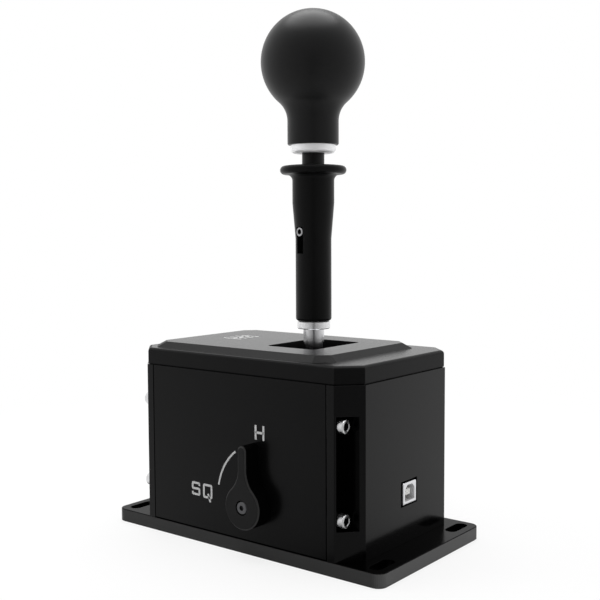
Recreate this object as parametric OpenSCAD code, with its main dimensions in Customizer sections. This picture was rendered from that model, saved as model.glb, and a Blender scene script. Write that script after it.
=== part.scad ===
// Gear shifter for a driving rig: a gimballed lever over an H gate, a fork that holds it in
// one column for sequential shifting, and a lift-up lock for the reverse column.
// X runs across, Y fore and aft, Z up. The origin is the middle of the base plate's underside.
// The end wall with the data port faces -Y and the panel with the mode lever faces -X.

/* [Base plate] */
// Width of the base plate and of the housing on it
plate_w = 94; // [91:0.5:98]
// Length of the base plate
plate_l = 176; // [172:1:190]
// Thickness of the base plate
plate_t = 7; // [6:0.5:9]
// Radius of the plate's upright corners
plate_corner_r = 5; // [4:0.5:7]
// Bevel round the plate's upper and lower edges
plate_bevel = 0.3; // [0.2:0.1:1]
// Distance from the plate's side to a slot's middle
slot_from_side = 12; // [11.5:0.5:14]
// Distance from the plate's end to a slot's middle
slot_from_end = 7.5; // [7:0.1:8]
// Width of a mounting slot
slot_w = 6.6; // [5.5:0.1:7]
// Length of a mounting slot, end to end
slot_l = 16.4; // [12:0.2:17]

/* [Housing] */
// Length of the housing
body_l = 145; // [142:1:148]
// Height of the housing from the plate to the cover's seam
body_h = 83; // [81:0.5:86]
// Thickness of the end walls
wall_t = 8; // [7:0.5:9]
// Thickness of the side panels
panel_t = 9; // [8.5:0.1:9.5]
// Bevel across the housing's upright corners
corner_bevel = 10.5; // [10:0.1:11]
// Thickness of the flange that carries each corner screw
flange_t = 4.2; // [3.6:0.1:5]
// Width of the corner posts
post_w = 17; // [16:0.5:18]
// Bevel along the side panels' upright edges, which draws the seam
seam_bevel = 0.4; // [0.2:0.1:0.6]
// Width of the screw pockets in the corners
pocket_w = 7.8; // [7.4:0.1:8.2]
// Rim left outside each screw pocket
pocket_lip = 0.7; // [0.5:0.1:1]
// Height of the pockets' lower end above the base plate
pocket_low = 14.5; // [13:0.5:18]
// Drop of the pockets' upper end below the cover's seam
pocket_drop = 14.5; // [12:0.5:16]
// Distance from a pocket's end to the nearer corner screw
corner_screw_inset = 4.75; // [4:0.25:6]
// Depth of the shelf inside each end wall that carries the cover
shelf_d = 10; // [9:0.5:11]
// Thickness of that shelf
shelf_t = 6; // [5:0.5:7]
// Distance of the cover screws from the middle of the housing
cover_screw_x = 24; // [20:1:25]
// Bite of the base screws in the housing
screw_bite = 9; // [8:0.5:10]

/* [Top cover] */
// Thickness of the cover's rim
cover_t = 8.9; // [8:0.1:10]
// Step from the housing's outline in to the cover's
cover_inset = 0.5; // [0.2:0.1:0.8]
// Rounding of the cover's upper edge
cover_round = 1.8; // [1:0.1:2.4]
// Height of the shadow gap under the cover
groove_h = 0.5; // [0.3:0.1:0.8]
// Depth of the shadow gap
groove_d = 0.6; // [0.4:0.1:1]
// Depth of the relief in the cover's underside
relief_d = 4.5; // [3.5:0.1:5]
// Height of the raised field on the cover
field_h = 2.8; // [2:0.1:3.5]
// Distance from the housing's side to the field's foot
field_side = 4.7; // [4:0.1:6]
// Distance from the front wall to the field's foot
field_front = 18.3; // [16:0.1:20]
// Distance from the rear wall to the field's foot
field_rear = 5; // [4.5:0.1:8]
// Run of the field's sloping sides
field_slope = 4.95; // [3:0.05:6]
// Bevel across the field's corners
field_corner = 8.3; // [6:0.1:10]
// Width of the lever opening
opening_w = 41; // [38:0.5:44]
// Length of the lever opening
opening_l = 31; // [28.4:0.2:32]
// Radius of the lever opening's corners
opening_r = 3; // [1:0.5:4]

/* [Gimbal] */
// Place of the lever along the housing
lever_y = -14.7; // [-17:0.1:-12]
// Height of the pivot above the base plate
pivot_h = 59; // [58:0.25:60]
// Diameter of the gimbal's trunnions
trunnion_d = 8; // [7.8:0.05:8.2]
// Diameter of the pins that the lever tilts on
hinge_pin_d = 6; // [5.5:0.1:6.5]
// Diameter of a bearing's outer ring
bearing_od = 16; // [15.6:0.1:16.4]
// Width of a bearing
bearing_w = 5; // [4.5:0.1:5.2]
// Width of the gimbal frame's window
yoke_window = 30; // [29.5:0.25:31]
// Width of the gimbal frame's side bars
yoke_bar = 13; // [12:0.5:13.5]
// Width of the gimbal frame's end bars
yoke_end = 8; // [7:0.5:9]
// Height of the gimbal frame
yoke_h = 14; // [13:0.5:15]
// Width of the hub
hub_w = 20; // [19:0.5:21]
// Length of the hub
hub_l = 26; // [25:0.5:27]
// Height of the hub above the pivot
hub_up = 13; // [12:0.5:14]
// Depth of the hub below the pivot
hub_down = 16; // [15.5:0.25:16.5]
// Width of the bar under the hub that the centring springs stand on
bar_w = 14; // [12:0.5:14]
// Thickness of that bar
bar_t = 4; // [3.5:0.25:4.5]
// Wire of the centring springs
centring_wire = 1.2; // [1:0.1:1.3]
// Turns of the centring springs
centring_turns = 5; // [4:1:6]

/* [Gate] */
// Distance from the pivot to the middle of the gate ball
finger_l = 50; // [49.5:0.1:50.5]
// Diameter of the gate ball
ball_d = 4.6; // [4.4:0.05:4.7]
// Sideways tilt from one gear column to the next, in degrees
column_step = 8; // [7.8:0.1:8.2]
// Fore and aft tilt into a gear, in degrees
gear_tilt = 12; // [11:0.5:12]
// Thickness of the gate plate
gate_t = 4; // [3.8:0.1:4.5]
// Width and length of the gate plate
gate_size = 46; // [45:0.5:47]
// Diameter of the spacers that carry the gate plate
spacer_d = 7; // [6:0.5:7.5]
// Reach of the lock pin below the pivot
lock_reach = 53.5; // [53:0.1:54]
// Thickness of the reverse fence
fence_t = 1.2; // [1:0.05:1.3]
// Hold of the reverse fence on the gate plate past each end of the gears' slots
fence_hold = 3; // [2:0.1:4]
// Radius of the detent plate
sector_r = 24; // [23.5:0.1:24.5]
// Thickness of the detent plate
sector_t = 3.5; // [3:0.25:4]
// Diameter of the detent plunger
plunger_d = 8; // [7.4:0.1:8.2]

/* [Grip] */
// Diameter of the lever's steel shaft inside its tube
shaft_d = 10; // [9.6:0.1:10.4]
// Diameter of the shaft below its tube
shaft_foot_d = 10.9; // [10.6:0.1:12]
// Diameter of the lock rod inside the shaft
rod_d = 5; // [4.4:0.1:5.2]
// Height of the grip's foot ring above the pivot
grip_up = 44; // [43:0.5:50]
// Height of the foot ring
ring_h = 4; // [3:0.5:6]
// Radius of the foot ring
ring_r = 8.6; // [7.6:0.1:8.8]
// Radius of the guide tube that the sleeve slides on
tube_r = 6.65; // [6.4:0.05:6.9]
// Radius of the tube's neck above the sleeve
tube_neck_r = 5.8; // [5.7:0.05:6.2]
// Length of the lift sleeve
sleeve_l = 80.6; // [78:0.2:84]
// Radius of the sleeve's straight part
sleeve_r = 9.35; // [9.2:0.05:9.8]
// Length of the sleeve's straight part
sleeve_straight = 43; // [40:0.5:50]
// Length of the sleeve's taper
sleeve_taper = 18.5; // [15:0.5:20]
// Radius of the sleeve under its flange
sleeve_top_r = 10.9; // [10.4:0.1:11.6]
// Radius of the sleeve's flange
flange_r = 17.25; // [16:0.25:19]
// Thickness of the sleeve's flange
flange_h = 4.4; // [4:0.1:5]
// Hollow fillet under the flange
flange_fillet = 3.2; // [2:0.1:4]
// Travel of the sleeve when it is lifted
lift = 6; // [5.5:0.1:7.5]
// Drop of the guide screw below the sleeve's top
guide_drop = 34.1; // [33:0.1:36]
// Diameter of the guide screw's head
guide_d = 4.8; // [4.6:0.1:5.4]
// Length of the slot in the sleeve
slot_run = 13.7; // [13.4:0.1:15]
// Height of the neck ring
neck_ring_h = 4.2; // [2.6:0.1:5]
// Radius of the neck ring
neck_ring_r = 11.7; // [11:0.1:12.5]
// Radius of the knob's ball
knob_r = 26.85; // [25:0.05:29]
// Height of the ball's middle above the knob's foot
knob_mid = 42.3; // [41:0.1:45]
// Radius of the knob's neck
knob_neck_r = 13.3; // [12.5:0.1:14]
// Hollow fillet between the knob's neck and ball
knob_fillet = 13; // [9:0.5:15]
// Depth of the shaft in the knob
knob_seat = 25; // [20:1:30]

/* [Mode lever] */
// Place of the mode pivot along the housing
mode_y = -13; // [-14:0.1:-12]
// Height of the mode pivot above the base plate
mode_up = 19.5; // [19:0.1:20]
// Radius of the mode lever's boss
boss_r = 11; // [10:0.25:12]
// Length of the mode lever, from its pivot to its tip
mode_l = 30.5; // [28:0.5:33]
// Width of the mode lever's arm
arm_w = 5.2; // [4.6:0.1:8]
// Hollow fillet between the arm and the boss
arm_fillet = 14; // [10:0.5:18]
// Thickness of the mode lever
mode_t = 9; // [8:0.1:10]
// Bevel along the mode lever's face
mode_bevel = 0.7; // [0.3:0.1:0.8]
// Diameter of the mode shaft
mode_shaft_d = 6; // [5.6:0.1:6.4]
// Travel of the sequential fork
fork_stroke = 15; // [14.5:0.1:15.5]
// Thickness of the sequential fork
fork_t = 2.5; // [2:0.1:2.8]
// Width of the fork's prongs
prong_w = 3; // [2.5:0.1:3.3]

/* [Data port] */
// Place of the port across the housing
port_x = 1.5; // [-2:0.25:3]
// Height of the port's middle above the base plate
port_up = 24.8; // [23:0.1:27]
// Width of the port's shell
port_w = 12; // [11.8:0.05:12.2]
// Height of the port's shell
port_h = 10.9; // [10.7:0.05:11.1]
// Depth of the port's shell
port_d = 17; // [16:0.5:18]
// Height of the port's face over the end wall
port_proud = 0.5; // [0:0.1:1]
// Gap beside the port in the end wall
port_gap_side = 1.5; // [0.6:0.05:2]
// Gap above and below the port in the end wall
port_gap_top = 0.9; // [0.5:0.05:2]
// Thickness of the circuit boards
board_t = 1.6; // [1.2:0.1:2]

/* [Hidden] */
$fn = 64;

// Clearances
cut = 1;
thread_gap = 0.03;
running_gap = 0.06;
slide_gap = 0.1;
hole_gap = 0.2;
side_gap = 0.3;

// An inset of 1 takes this much off a 45 degree corner bevel
bevel_shrink = 2 - sqrt(2);

// Housing lines
half_w = plate_w / 2;
half_l = body_l / 2;
seam_z = plate_t + body_h;
seat_y = half_l - corner_bevel;
joint_y = seat_y - flange_t;
inner_x = half_w - panel_t;
inner_y = half_l - wall_t;
post_x = half_w - post_w;
pocket_z0 = plate_t + pocket_low;
pocket_z1 = seam_z - pocket_drop;
corner_screw_x = half_w - pocket_lip - pocket_w / 2;
corner_screw_zs = [pocket_z0 + corner_screw_inset, pocket_z1 - corner_screw_inset];
cover_top = seam_z + cover_t;
relief_side = 11;
relief_end = 20.5;
shelf_screw_y = inner_y - shelf_d / 2;
post_inset = [11, 8];
post_screw = [half_w - post_inset[0], half_l - post_inset[1]];
panel_screw = [half_w - panel_t / 2, 32];

// M4 and M3 screws
m4_r = 2;
m4_head_r = 3.5;
m4_head_h = 4;
m4_hex_r = 1.73;
m4_flat_r = 4;
m3_r = 1.5;
m3_head_r = 2.75;
m3_head_h = 2;
m3_hex_r = 1.15;
corner_screw_l = 15;
corner_hole_d = 12;
base_screw_l = plate_t + screw_bite;
cover_screw_bite = 5;

// Gimbal, and the hub in it
pivot_z = plate_t + pivot_h;
yoke_half_w = yoke_window / 2 + yoke_bar;
yoke_play = 1.3;
yoke_in_l = hub_l / 2 + yoke_play;
yoke_half_l = yoke_in_l + yoke_end;
trunnion_r = trunnion_d / 2;
race_r = bearing_od / 2;
race_wall = 1.2;
race_pitch = (trunnion_r + race_r) / 2;
bearing_ball_r = 1.2;
ball_count = 9;
shoulder_r = trunnion_r + race_wall;
bearing_x = inner_x + side_gap;
hinge_pin_r = hinge_pin_d / 2;
hinge_depth = 6;
bush_wall = 1.5;
bush_flange = [2, 1];
hub_foot = pivot_z - hub_down;
hub_corner = 2;
shaft_seat = 4;
finger_root_r = 4;
finger_root = hub_foot + 8;

// Spring bar and centring springs
bar_z = hub_foot - bar_t;
spring_x = yoke_half_w - 9.1;
spring_r = 2.7;
seat_r = spring_r + centring_wire / 2 + side_gap;
bar_l = 2 * (spring_x + seat_r + 0.4);
bar_seat = 1;
yoke_seat = 3;
spring_z0 = hub_foot - bar_seat + thread_gap;
spring_z1 = pivot_z - yoke_h / 2 + yoke_seat - thread_gap;

// Gate, finger and fence
ball_r = ball_d / 2;
ball_z = pivot_z - finger_l;
gate_z = ball_z - 0.5;
gate_top = gate_z + gate_t;
channel_w = ball_d + 0.4;
column_end = finger_l * sin(gear_tilt) + ball_r + side_gap;
columns = [-2, -1, 0, 1, 2];
gate_reach = finger_l * sin(2 * column_step);
stem_r = 2;
stem_l = 10;
needle_r = 1;
needle_bore_r = needle_r + running_gap;
needle_top = finger_root + 4;
collar_r = 6.5;
collar_h = 2.5;
spacer_at = gate_size / 2 - 3.5;
gate_screw_bite = 4.5;
fence_x = lock_reach * sin(1.5 * column_step) + 0.5;
fence_l = 2 * (column_end + fence_hold);
fence_h = (gate_z - plate_t) / 2;
fence_dip = [channel_w + 1, 0.31 * fence_h];

// Detent
sector_x = yoke_half_w;
sector_tab = [32, yoke_h - 2];
sector_screw_y = 12;
sector_screw_bite = 6;
sector_spread = gear_tilt + 8;
notch_r = 2;
notch_depth = 1;
detent_x = sector_x + sector_t / 2;
detent_top = pivot_z - sector_r - side_gap;
plunger_r = plunger_d / 2;
plunger_l = 16;
plunger_top = detent_top - 1.2;
plunger_bore_r = notch_r + slide_gap;
plunger_floor = 2;
plunger_bevel = 0.8;
detent_wire = 0.6;
block_size = [11, 16];
block_top = plunger_top - 5;
block_screw_y = 5.2;

// Grip, from the foot ring up
shaft_r = shaft_d / 2;
shaft_foot_r = shaft_foot_d / 2;
rod_r = rod_d / 2;
bore_r = rod_r + running_gap;
ring_z = pivot_z + grip_up;
tube_z = ring_z + ring_h;
sleeve_z = tube_z + hole_gap;
sleeve_top = tube_z + sleeve_l;
neck_z = sleeve_top + lift + 0.5;
neck_round = 2.2;
knob_z = neck_z + neck_ring_h;
shaft_z = pivot_z + shaft_seat;
shaft_top = knob_z + knob_seat;
tube_bore_r = shaft_r + running_gap;
tube_neck_z = sleeve_top - 2;
sleeve_bore_r = tube_r + slide_gap;
flange_z = sleeve_top - flange_h;
guide_z = sleeve_top - guide_drop;
guide_turn = 168;
guide_r = guide_d / 2;
guide_proud = 0.3;
cross_z = sleeve_top - 8.6;
cross_r = 1.5;
cross_turn = 60;
cross_root = 1.5;
insert_r = 8;
rod_top = cross_z + 4;
lock_spring_r = rod_r - 0.7;
lock_wire = 0.7;
lock_turns = 6;
spring_stop = neck_z + 2;
soft_edge = 0.4;

// Mode lever, crank and fork
mode_z = plate_t + mode_up;
mode_face_x = -half_w - side_gap;
mode_shaft_r = mode_shaft_d / 2;
mode_seat = mode_t - 3.5;
mode_screw_dip = 2;
mode_screw_l = 8;
bush_r = 5;
crank_t = 3;
crank_x = -inner_x + side_gap;
crank_wall = 3;
crank_pin_r = 2;
crank_arm = fork_stroke / sqrt(2);
crank_pin_y = mode_y + fork_stroke / 2;
crank_pin_z = mode_z - fork_stroke / 2;
crank_play = 0.45;
web_t = 2.9;
web_l = 11;
web_rim = 2.5;
web_x = crank_x + crank_t + side_gap;
web_slot_z0 = mode_z - crank_arm - crank_pin_r - side_gap;
web_slot_z1 = crank_pin_z + crank_pin_r + side_gap;
fork_z = gate_top + side_gap;
fork_top = fork_z + fork_t;
finger_sweep = (pivot_z - fork_z) * sin(gear_tilt) + stem_r + 0.4;
prong_in = stem_r + 0.6;
prong_tip = lever_y + finger_sweep + hole_gap;
prong_root = prong_tip + fork_stroke;
root_l = 7;
strip_x = -gate_size / 2 - 0.5;
strip_w = 7;
strip_y = lever_y - 4;
guide_x = strip_x + strip_w / 2;
guide_pitch = 12;
guide_ys = [lever_y + 1.5, lever_y + 1.5 + guide_pitch];
guide_slot_y = guide_ys[0] - 3;
guide_slot_l = fork_stroke + guide_pitch + 5;
guide_head = [3.2, 1.6];
switch_size = [6, 8, 10];
switch_gap = 1.5;

// Port and boards
port_z = plate_t + port_up;
port_y = -half_l - port_proud;
port_hole = [8.45, 7.8];
port_hole_d = 9;
port_hole_bevel = 2.2;
tongue_size = [5.6, 7.6, 3.2];
board_top = port_z - port_h / 2;
board_z = board_top - board_t;
board_size = [44, 23];
board_y = -inner_y + 1;
board_hole = [3, 3.2];
board_screw_bite = 4;
board_screw_l = board_t + board_screw_bite;
standoff_r = 3.1;
standoff_stud = 3.5;
chip_size = [9, 9, 1.2];
chip_x = -14;
plug_size = [10, 5, 5.5];
plug_gap = 2;
fore_board = [18, 12];
fore_drop = 15;
fore_z = pivot_z - fore_drop;
fore_screw_y = fore_board[0] / 2 - 3;
side_board = [16, 14];
side_board_y = lever_y + yoke_in_l + 1.3;
side_board_z = pivot_z + yoke_h / 2 - 2;
side_magnet_z = pivot_z + 10;
magnet_r = 2.5;
magnet_t = 2;
hall_size = [4, 1, 3];

// Outline of half widths w and l with its corners bevelled by c, all moved in by inset
module octagon(w, l, c, inset = 0) {
    a = w - inset;
    b = l - inset;
    d = c - bevel_shrink * inset;
    polygon([
        [-a, d - b], [d - a, -b], [a - d, -b], [a, d - b],
        [a, b - d], [a - d, b], [d - a, b], [-a, b - d]
    ]);
}

// Points of an arc round [x, y] from angle a to angle b
function arc(x, y, r, a, b, n = 8) =
    [for (i = [0:n]) [x + r * cos(a + (b - a) * i / n), y + r * sin(a + (b - a) * i / n)]];

module both_x() {
    children();
    mirror([1, 0, 0]) children();
}

module both_y() {
    children();
    mirror([0, 1, 0]) children();
}

// Child moved to the gimbal's centre
module at_pivot() {
    translate([0, lever_y, pivot_z]) children();
}

// Child's Z turned to run along +X
module along_x() {
    rotate([0, 90, 0]) children();
}

// Child's Z turned to run along +Y
module along_y() {
    rotate([-90, 0, 0]) children();
}

// Child turned round the lever's axis to face the given direction at height z
module facing(turn, z) {
    translate([0, lever_y, z]) rotate([0, 0, turn]) children();
}

// Socket screw whose head stands on z = 0 and whose shank hangs below
module cap_screw(head_r, head_h, shank_r, shank_l, hex_r) {
    difference() {
        union() {
            cylinder(r = head_r, h = head_h);
            translate([0, 0, -shank_l]) cylinder(r = shank_r, h = shank_l);
        }
        translate([0, 0, head_h / 2]) cylinder(r = hex_r, h = head_h, $fn = 6);
    }
}

module m4_cap(shank_l) {
    cap_screw(m4_head_r, m4_head_h, m4_r, shank_l, m4_hex_r);
}

module m3_pan(shank_l) {
    cap_screw(m3_head_r, m3_head_h, m3_r, shank_l, m3_hex_r);
}

// Countersunk form with its wide face on z = 0 and its shank running up to z = h
module countersunk(head_r, shank_r, h) {
    rotate_extrude()
        polygon([[0, 0], [head_r, 0], [shank_r, head_r - shank_r], [shank_r, h], [0, h]]);
}

// Hole for a countersunk screw, open below z = 0
module countersink(head_r, shank_r, h) {
    countersunk(head_r, shank_r, h);
    translate([0, 0, -cut]) cylinder(r = head_r, h = cut + thread_gap);
}

// Coil spring as one tube that stands on z = 0 and is h tall
module coil(r, wire, h, turns) {
    rings = 8 * turns;
    rise = (h - wire) / rings;
    wire_r = wire / 2;
    points = [
        for (i = [0:rings]) for (j = [0:5])
            let (a = 45 * i, b = 60 * j, reach = r + wire_r * cos(b))
            [reach * cos(a), reach * sin(a), wire_r + rise * i + wire_r * sin(b)]
    ];
    skin = [
        for (i = [0:rings - 1]) for (j = [0:5])
            let (p = 6 * i + j, q = 6 * i + (j + 1) % 6)
            each [[p, q, q + 6], [p, q + 6, p + 6]]
    ];
    start_cap = [for (j = [1:4]) [0, j + 1, j]];
    end_cap = [for (j = [1:4]) [6 * rings, 6 * rings + j, 6 * rings + j + 1]];
    polyhedron(points, concat(skin, start_cap, end_cap));
}

// Housing

module slot_cut() {
    run = (slot_l - slot_w) / 2;
    translate([0, 0, -cut]) {
        for (s = [-1, 1]) translate([s * run, 0, 0]) cylinder(d = slot_w, h = plate_t + 2 * cut);
        translate([-run, -slot_w / 2, 0]) cube([2 * run, slot_w, plate_t + 2 * cut]);
    }
}

module plate_outline(inset) {
    for (x = [-1, 1]) for (y = [-1, 1])
        translate([x * (half_w - plate_corner_r), y * (plate_l / 2 - plate_corner_r)])
            circle(r = plate_corner_r - inset, $fn = 32);
}

// Child at each screw that comes up through the base plate
module at_base_screws() {
    for (spot = [post_screw, panel_screw]) for (x = [-1, 1]) for (y = [-1, 1])
        translate([x * spot[0], y * spot[1], 0]) children();
    for (y = [-1, 1]) translate([detent_x, lever_y + y * block_screw_y, 0]) children();
}

module at_gate_screws() {
    for (x = [-1, 1]) for (y = [-1, 1])
        translate([x * spacer_at, lever_y + y * spacer_at, 0]) children();
}

module at_standoffs() {
    for (x = [-1, 1]) for (y = [board_hole[1], board_size[1] - board_hole[1]])
        translate([x * (board_size[0] / 2 - board_hole[0]), board_y + y, 0]) children();
}

module base_plate() {
    color([0.10, 0.10, 0.11])
    difference() {
        hull() {
            linear_extrude(plate_t) plate_outline(plate_bevel);
            translate([0, 0, plate_bevel])
                linear_extrude(plate_t - 2 * plate_bevel) plate_outline(0);
        }
        for (x = [-1, 1]) for (y = [-1, 1])
            translate([x * (half_w - slot_from_side), y * (plate_l / 2 - slot_from_end), 0])
                slot_cut();
        at_base_screws() countersink(m4_flat_r + thread_gap, m4_r + thread_gap, plate_t + cut);
        at_standoffs() translate([0, 0, plate_t - standoff_stud - 0.5])
            cylinder(r = m3_r + thread_gap, h = plate_t);
        at_gate_screws() translate([0, 0, plate_t - gate_screw_bite - 0.5])
            cylinder(r = m3_r + thread_gap, h = plate_t);
    }
}

// End wall at -Y with its corner posts, screw pockets and the shelf for the cover
module end_wall() {
    difference() {
        union() {
            translate([0, 0, plate_t]) linear_extrude(body_h) polygon([
                [-half_w, -joint_y], [-half_w, -seat_y], [-half_w + corner_bevel, -half_l],
                [half_w - corner_bevel, -half_l], [half_w, -seat_y], [half_w, -joint_y],
                [post_x, -joint_y], [post_x, -inner_y], [-post_x, -inner_y], [-post_x, -joint_y]
            ]);
            translate([-post_x, -inner_y, seam_z - shelf_t]) cube([2 * post_x, shelf_d, shelf_t]);
        }
        both_x() {
            translate([half_w - pocket_lip - pocket_w, -half_l - cut, pocket_z0])
                cube([pocket_w, corner_bevel + cut, pocket_z1 - pocket_z0]);
            for (z = corner_screw_zs) translate([corner_screw_x, -seat_y - cut, z])
                along_y() cylinder(r = m4_r + hole_gap, h = flange_t + 2 * cut);
            translate([post_screw[0], -post_screw[1], plate_t - cut])
                cylinder(r = m4_r + thread_gap, h = screw_bite + 2 * cut);
            translate([cover_screw_x, -shelf_screw_y, seam_z - shelf_t - cut])
                cylinder(r = m4_r + hole_gap, h = shelf_t + 2 * cut);
        }
    }
}

module front_wall() {
    gap = [2 * port_gap_side, 2 * port_gap_top];
    color([0.13, 0.13, 0.14])
    difference() {
        end_wall();
        translate([port_x - (port_w + gap[0]) / 2, -half_l - cut, port_z - (port_h + gap[1]) / 2])
            cube([port_w + gap[0], wall_t + 2 * cut, port_h + gap[1]]);
    }
}

module rear_wall() {
    color([0.13, 0.13, 0.14]) mirror([0, 1, 0]) end_wall();
}

// Side panel at -X with its tapped holes and the blind seat for a bearing
module side_panel() {
    difference() {
        translate([0, 0, plate_t]) linear_extrude(body_h) polygon([
            [-half_w + seam_bevel, -joint_y], [-inner_x, -joint_y],
            [-inner_x, joint_y], [-half_w + seam_bevel, joint_y],
            [-half_w, joint_y - seam_bevel], [-half_w, seam_bevel - joint_y]
        ]);
        both_y() {
            for (z = corner_screw_zs) translate([-corner_screw_x, -joint_y - cut, z])
                along_y() cylinder(r = m4_r + thread_gap, h = corner_hole_d + cut);
            translate([-panel_screw[0], panel_screw[1], plate_t - cut])
                cylinder(r = m4_r + thread_gap, h = screw_bite + 2 * cut);
        }
        at_pivot() translate([-bearing_x - bearing_w, 0, 0])
            along_x() cylinder(r = race_r + thread_gap, h = bearing_w + side_gap + cut);
    }
}

module left_panel() {
    color([0.11, 0.11, 0.12])
    difference() {
        side_panel();
        translate([-half_w - cut, mode_y, mode_z])
            along_x() cylinder(r = bush_r + thread_gap, h = panel_t + 2 * cut);
    }
}

module right_panel() {
    color([0.11, 0.11, 0.12])
    difference() {
        mirror([1, 0, 0]) side_panel();
        at_fore_screws() translate([0, 0, -cut])
            cylinder(r = m3_r + thread_gap, h = board_screw_bite + 2 * cut);
    }
}

// Child at each screw of the fore sensor board, with its Z pointing into the panel
module at_fore_screws() {
    for (y = [-1, 1]) translate([inner_x, lever_y + y * fore_screw_y, fore_z])
        along_x() children();
}

// Cover blank: straight sides, a rounded upper edge in three steps, a stepped-in foot
module cover_blank() {
    w = half_w - cover_inset;
    l = half_l - cover_inset;
    c = corner_bevel - bevel_shrink * cover_inset;
    side_h = cover_t - groove_h - cover_round;
    translate([0, 0, seam_z + groove_h]) hull() for (a = [0, 30, 60, 90])
        linear_extrude(side_h + cover_round * sin(a))
            octagon(w, l, c, cover_round * (1 - cos(a)));
    translate([0, 0, seam_z]) linear_extrude(groove_h) octagon(w, l, c, groove_d);
}

// Raised field with sloping sides on the cover
module cover_field() {
    w = half_w - field_side;
    l = half_l - (field_front + field_rear) / 2;
    foot = 0.5;
    translate([0, (field_front - field_rear) / 2, cover_top]) hull() {
        translate([0, 0, -foot]) linear_extrude(foot) octagon(w, l, field_corner);
        linear_extrude(field_h) octagon(w, l, field_corner, field_slope);
    }
}

// Upright cut of height h for the lever, with round corners
module opening_cut(h) {
    w = opening_w - 2 * opening_r;
    l = opening_l - 2 * opening_r;
    translate([-w / 2, -opening_l / 2, 0]) cube([w, opening_l, h]);
    translate([-opening_w / 2, -l / 2, 0]) cube([opening_w, l, h]);
    for (x = [-1, 1]) for (y = [-1, 1]) translate([x * w / 2, y * l / 2, 0])
        cylinder(r = opening_r, h = h);
}

module top_cover() {
    color([0.16, 0.16, 0.17])
    difference() {
        union() {
            cover_blank();
            cover_field();
        }
        translate([relief_side - half_w, relief_end - half_l, seam_z - cut])
            cube([plate_w - 2 * relief_side, body_l - 2 * relief_end, relief_d + cut]);
        translate([0, lever_y, seam_z]) opening_cut(cover_t + field_h + cut);
        both_y() both_x() translate([cover_screw_x, shelf_screw_y, seam_z - cut])
            cylinder(r = m4_r + thread_gap, h = cover_screw_bite + cut + 0.5);
    }
}

module corner_screws() {
    color([0.80, 0.80, 0.82])
    both_x() both_y() for (z = corner_screw_zs)
        translate([corner_screw_x, -seat_y, z]) rotate([90, 0, 0]) m4_cap(corner_screw_l);
}

module base_screws() {
    color([0.30, 0.30, 0.32])
    at_base_screws() difference() {
        countersunk(m4_flat_r, m4_r, base_screw_l);
        translate([0, 0, -cut]) cylinder(r = m4_hex_r, h = 2 + cut, $fn = 6);
    }
}

module cover_screws() {
    color([0.30, 0.30, 0.32])
    both_x() both_y() translate([cover_screw_x, shelf_screw_y, seam_z - shelf_t])
        mirror([0, 0, 1]) m4_cap(shelf_t + cover_screw_bite);
}

// Gimbal

module at_bearings() {
    at_pivot() both_x() translate([bearing_x, 0, 0]) along_x() children();
}

// Bearing ring between two radii with the ball groove cut into it
module race(inner, outer) {
    difference() {
        rotate_extrude() translate([inner, 0]) square([outer - inner, bearing_w]);
        translate([0, 0, bearing_w / 2]) rotate_extrude()
            translate([race_pitch, 0]) circle(r = bearing_ball_r + running_gap, $fn = 32);
    }
}

module bearing_outer_rings() {
    color([0.62, 0.63, 0.65]) at_bearings() race(race_r - race_wall, race_r);
}

module bearing_inner_rings() {
    color([0.62, 0.63, 0.65]) at_bearings() race(trunnion_r + thread_gap, shoulder_r);
}

module bearing_balls() {
    color([0.85, 0.86, 0.88])
    at_bearings() for (i = [0:ball_count - 1]) rotate([0, 0, 360 * i / ball_count])
        translate([race_pitch, 0, bearing_w / 2]) sphere(r = bearing_ball_r, $fn = 24);
}

// Frame round the hub with a trunnion at each side
module gimbal_frame() {
    color([0.55, 0.56, 0.58])
    difference() {
        at_pivot() {
            translate([-yoke_half_w, -yoke_half_l, -yoke_h / 2])
                cube([2 * yoke_half_w, 2 * yoke_half_l, yoke_h]);
            both_x() translate([yoke_half_w, 0, 0]) along_x() {
                cylinder(r = shoulder_r, h = bearing_x - yoke_half_w);
                cylinder(r = trunnion_r, h = bearing_x - yoke_half_w + bearing_w - hole_gap);
            }
        }
        at_pivot() {
            translate([-yoke_window / 2, -yoke_in_l, -yoke_h])
                cube([yoke_window, 2 * yoke_in_l, 2 * yoke_h]);
            both_y() translate([0, yoke_in_l - cut, 0])
                along_y() cylinder(r = hinge_pin_r + thread_gap, h = yoke_end + 2 * cut);
            both_x() translate([spring_x, 0, -yoke_h / 2 - cut])
                cylinder(r = seat_r, h = yoke_seat + cut);
            for (y = [-1, 1]) translate([sector_x - sector_screw_bite - 1, y * sector_screw_y, 0])
                along_x() cylinder(r = m3_r + thread_gap, h = sector_screw_bite + 1 + cut);
        }
        translate([-side_board[0] / 2 - thread_gap, side_board_y - thread_gap, side_board_z])
            cube([side_board[0] + 2 * thread_gap, board_t + 2 * thread_gap, side_board[1]]);
    }
}

module hinge_pins() {
    start = hub_l / 2 - hinge_depth + running_gap;
    color([0.75, 0.76, 0.78])
    at_pivot() both_y() translate([0, start, 0])
        along_y() cylinder(r = hinge_pin_r, h = yoke_half_l - start);
}

// Flanged bushes in the hub that the hinge pins run in
module hinge_bushes() {
    bore = hinge_pin_r + running_gap;
    wall = hinge_pin_r + bush_wall;
    color([0.72, 0.53, 0.25])
    at_pivot() both_y() translate([0, hub_l / 2, 0]) along_y() rotate_extrude() polygon([
        [bore, -hinge_depth], [wall, -hinge_depth], [wall, 0], [wall + bush_flange[0], 0],
        [wall + bush_flange[0], bush_flange[1]], [bore, bush_flange[1]]
    ]);
}

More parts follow.
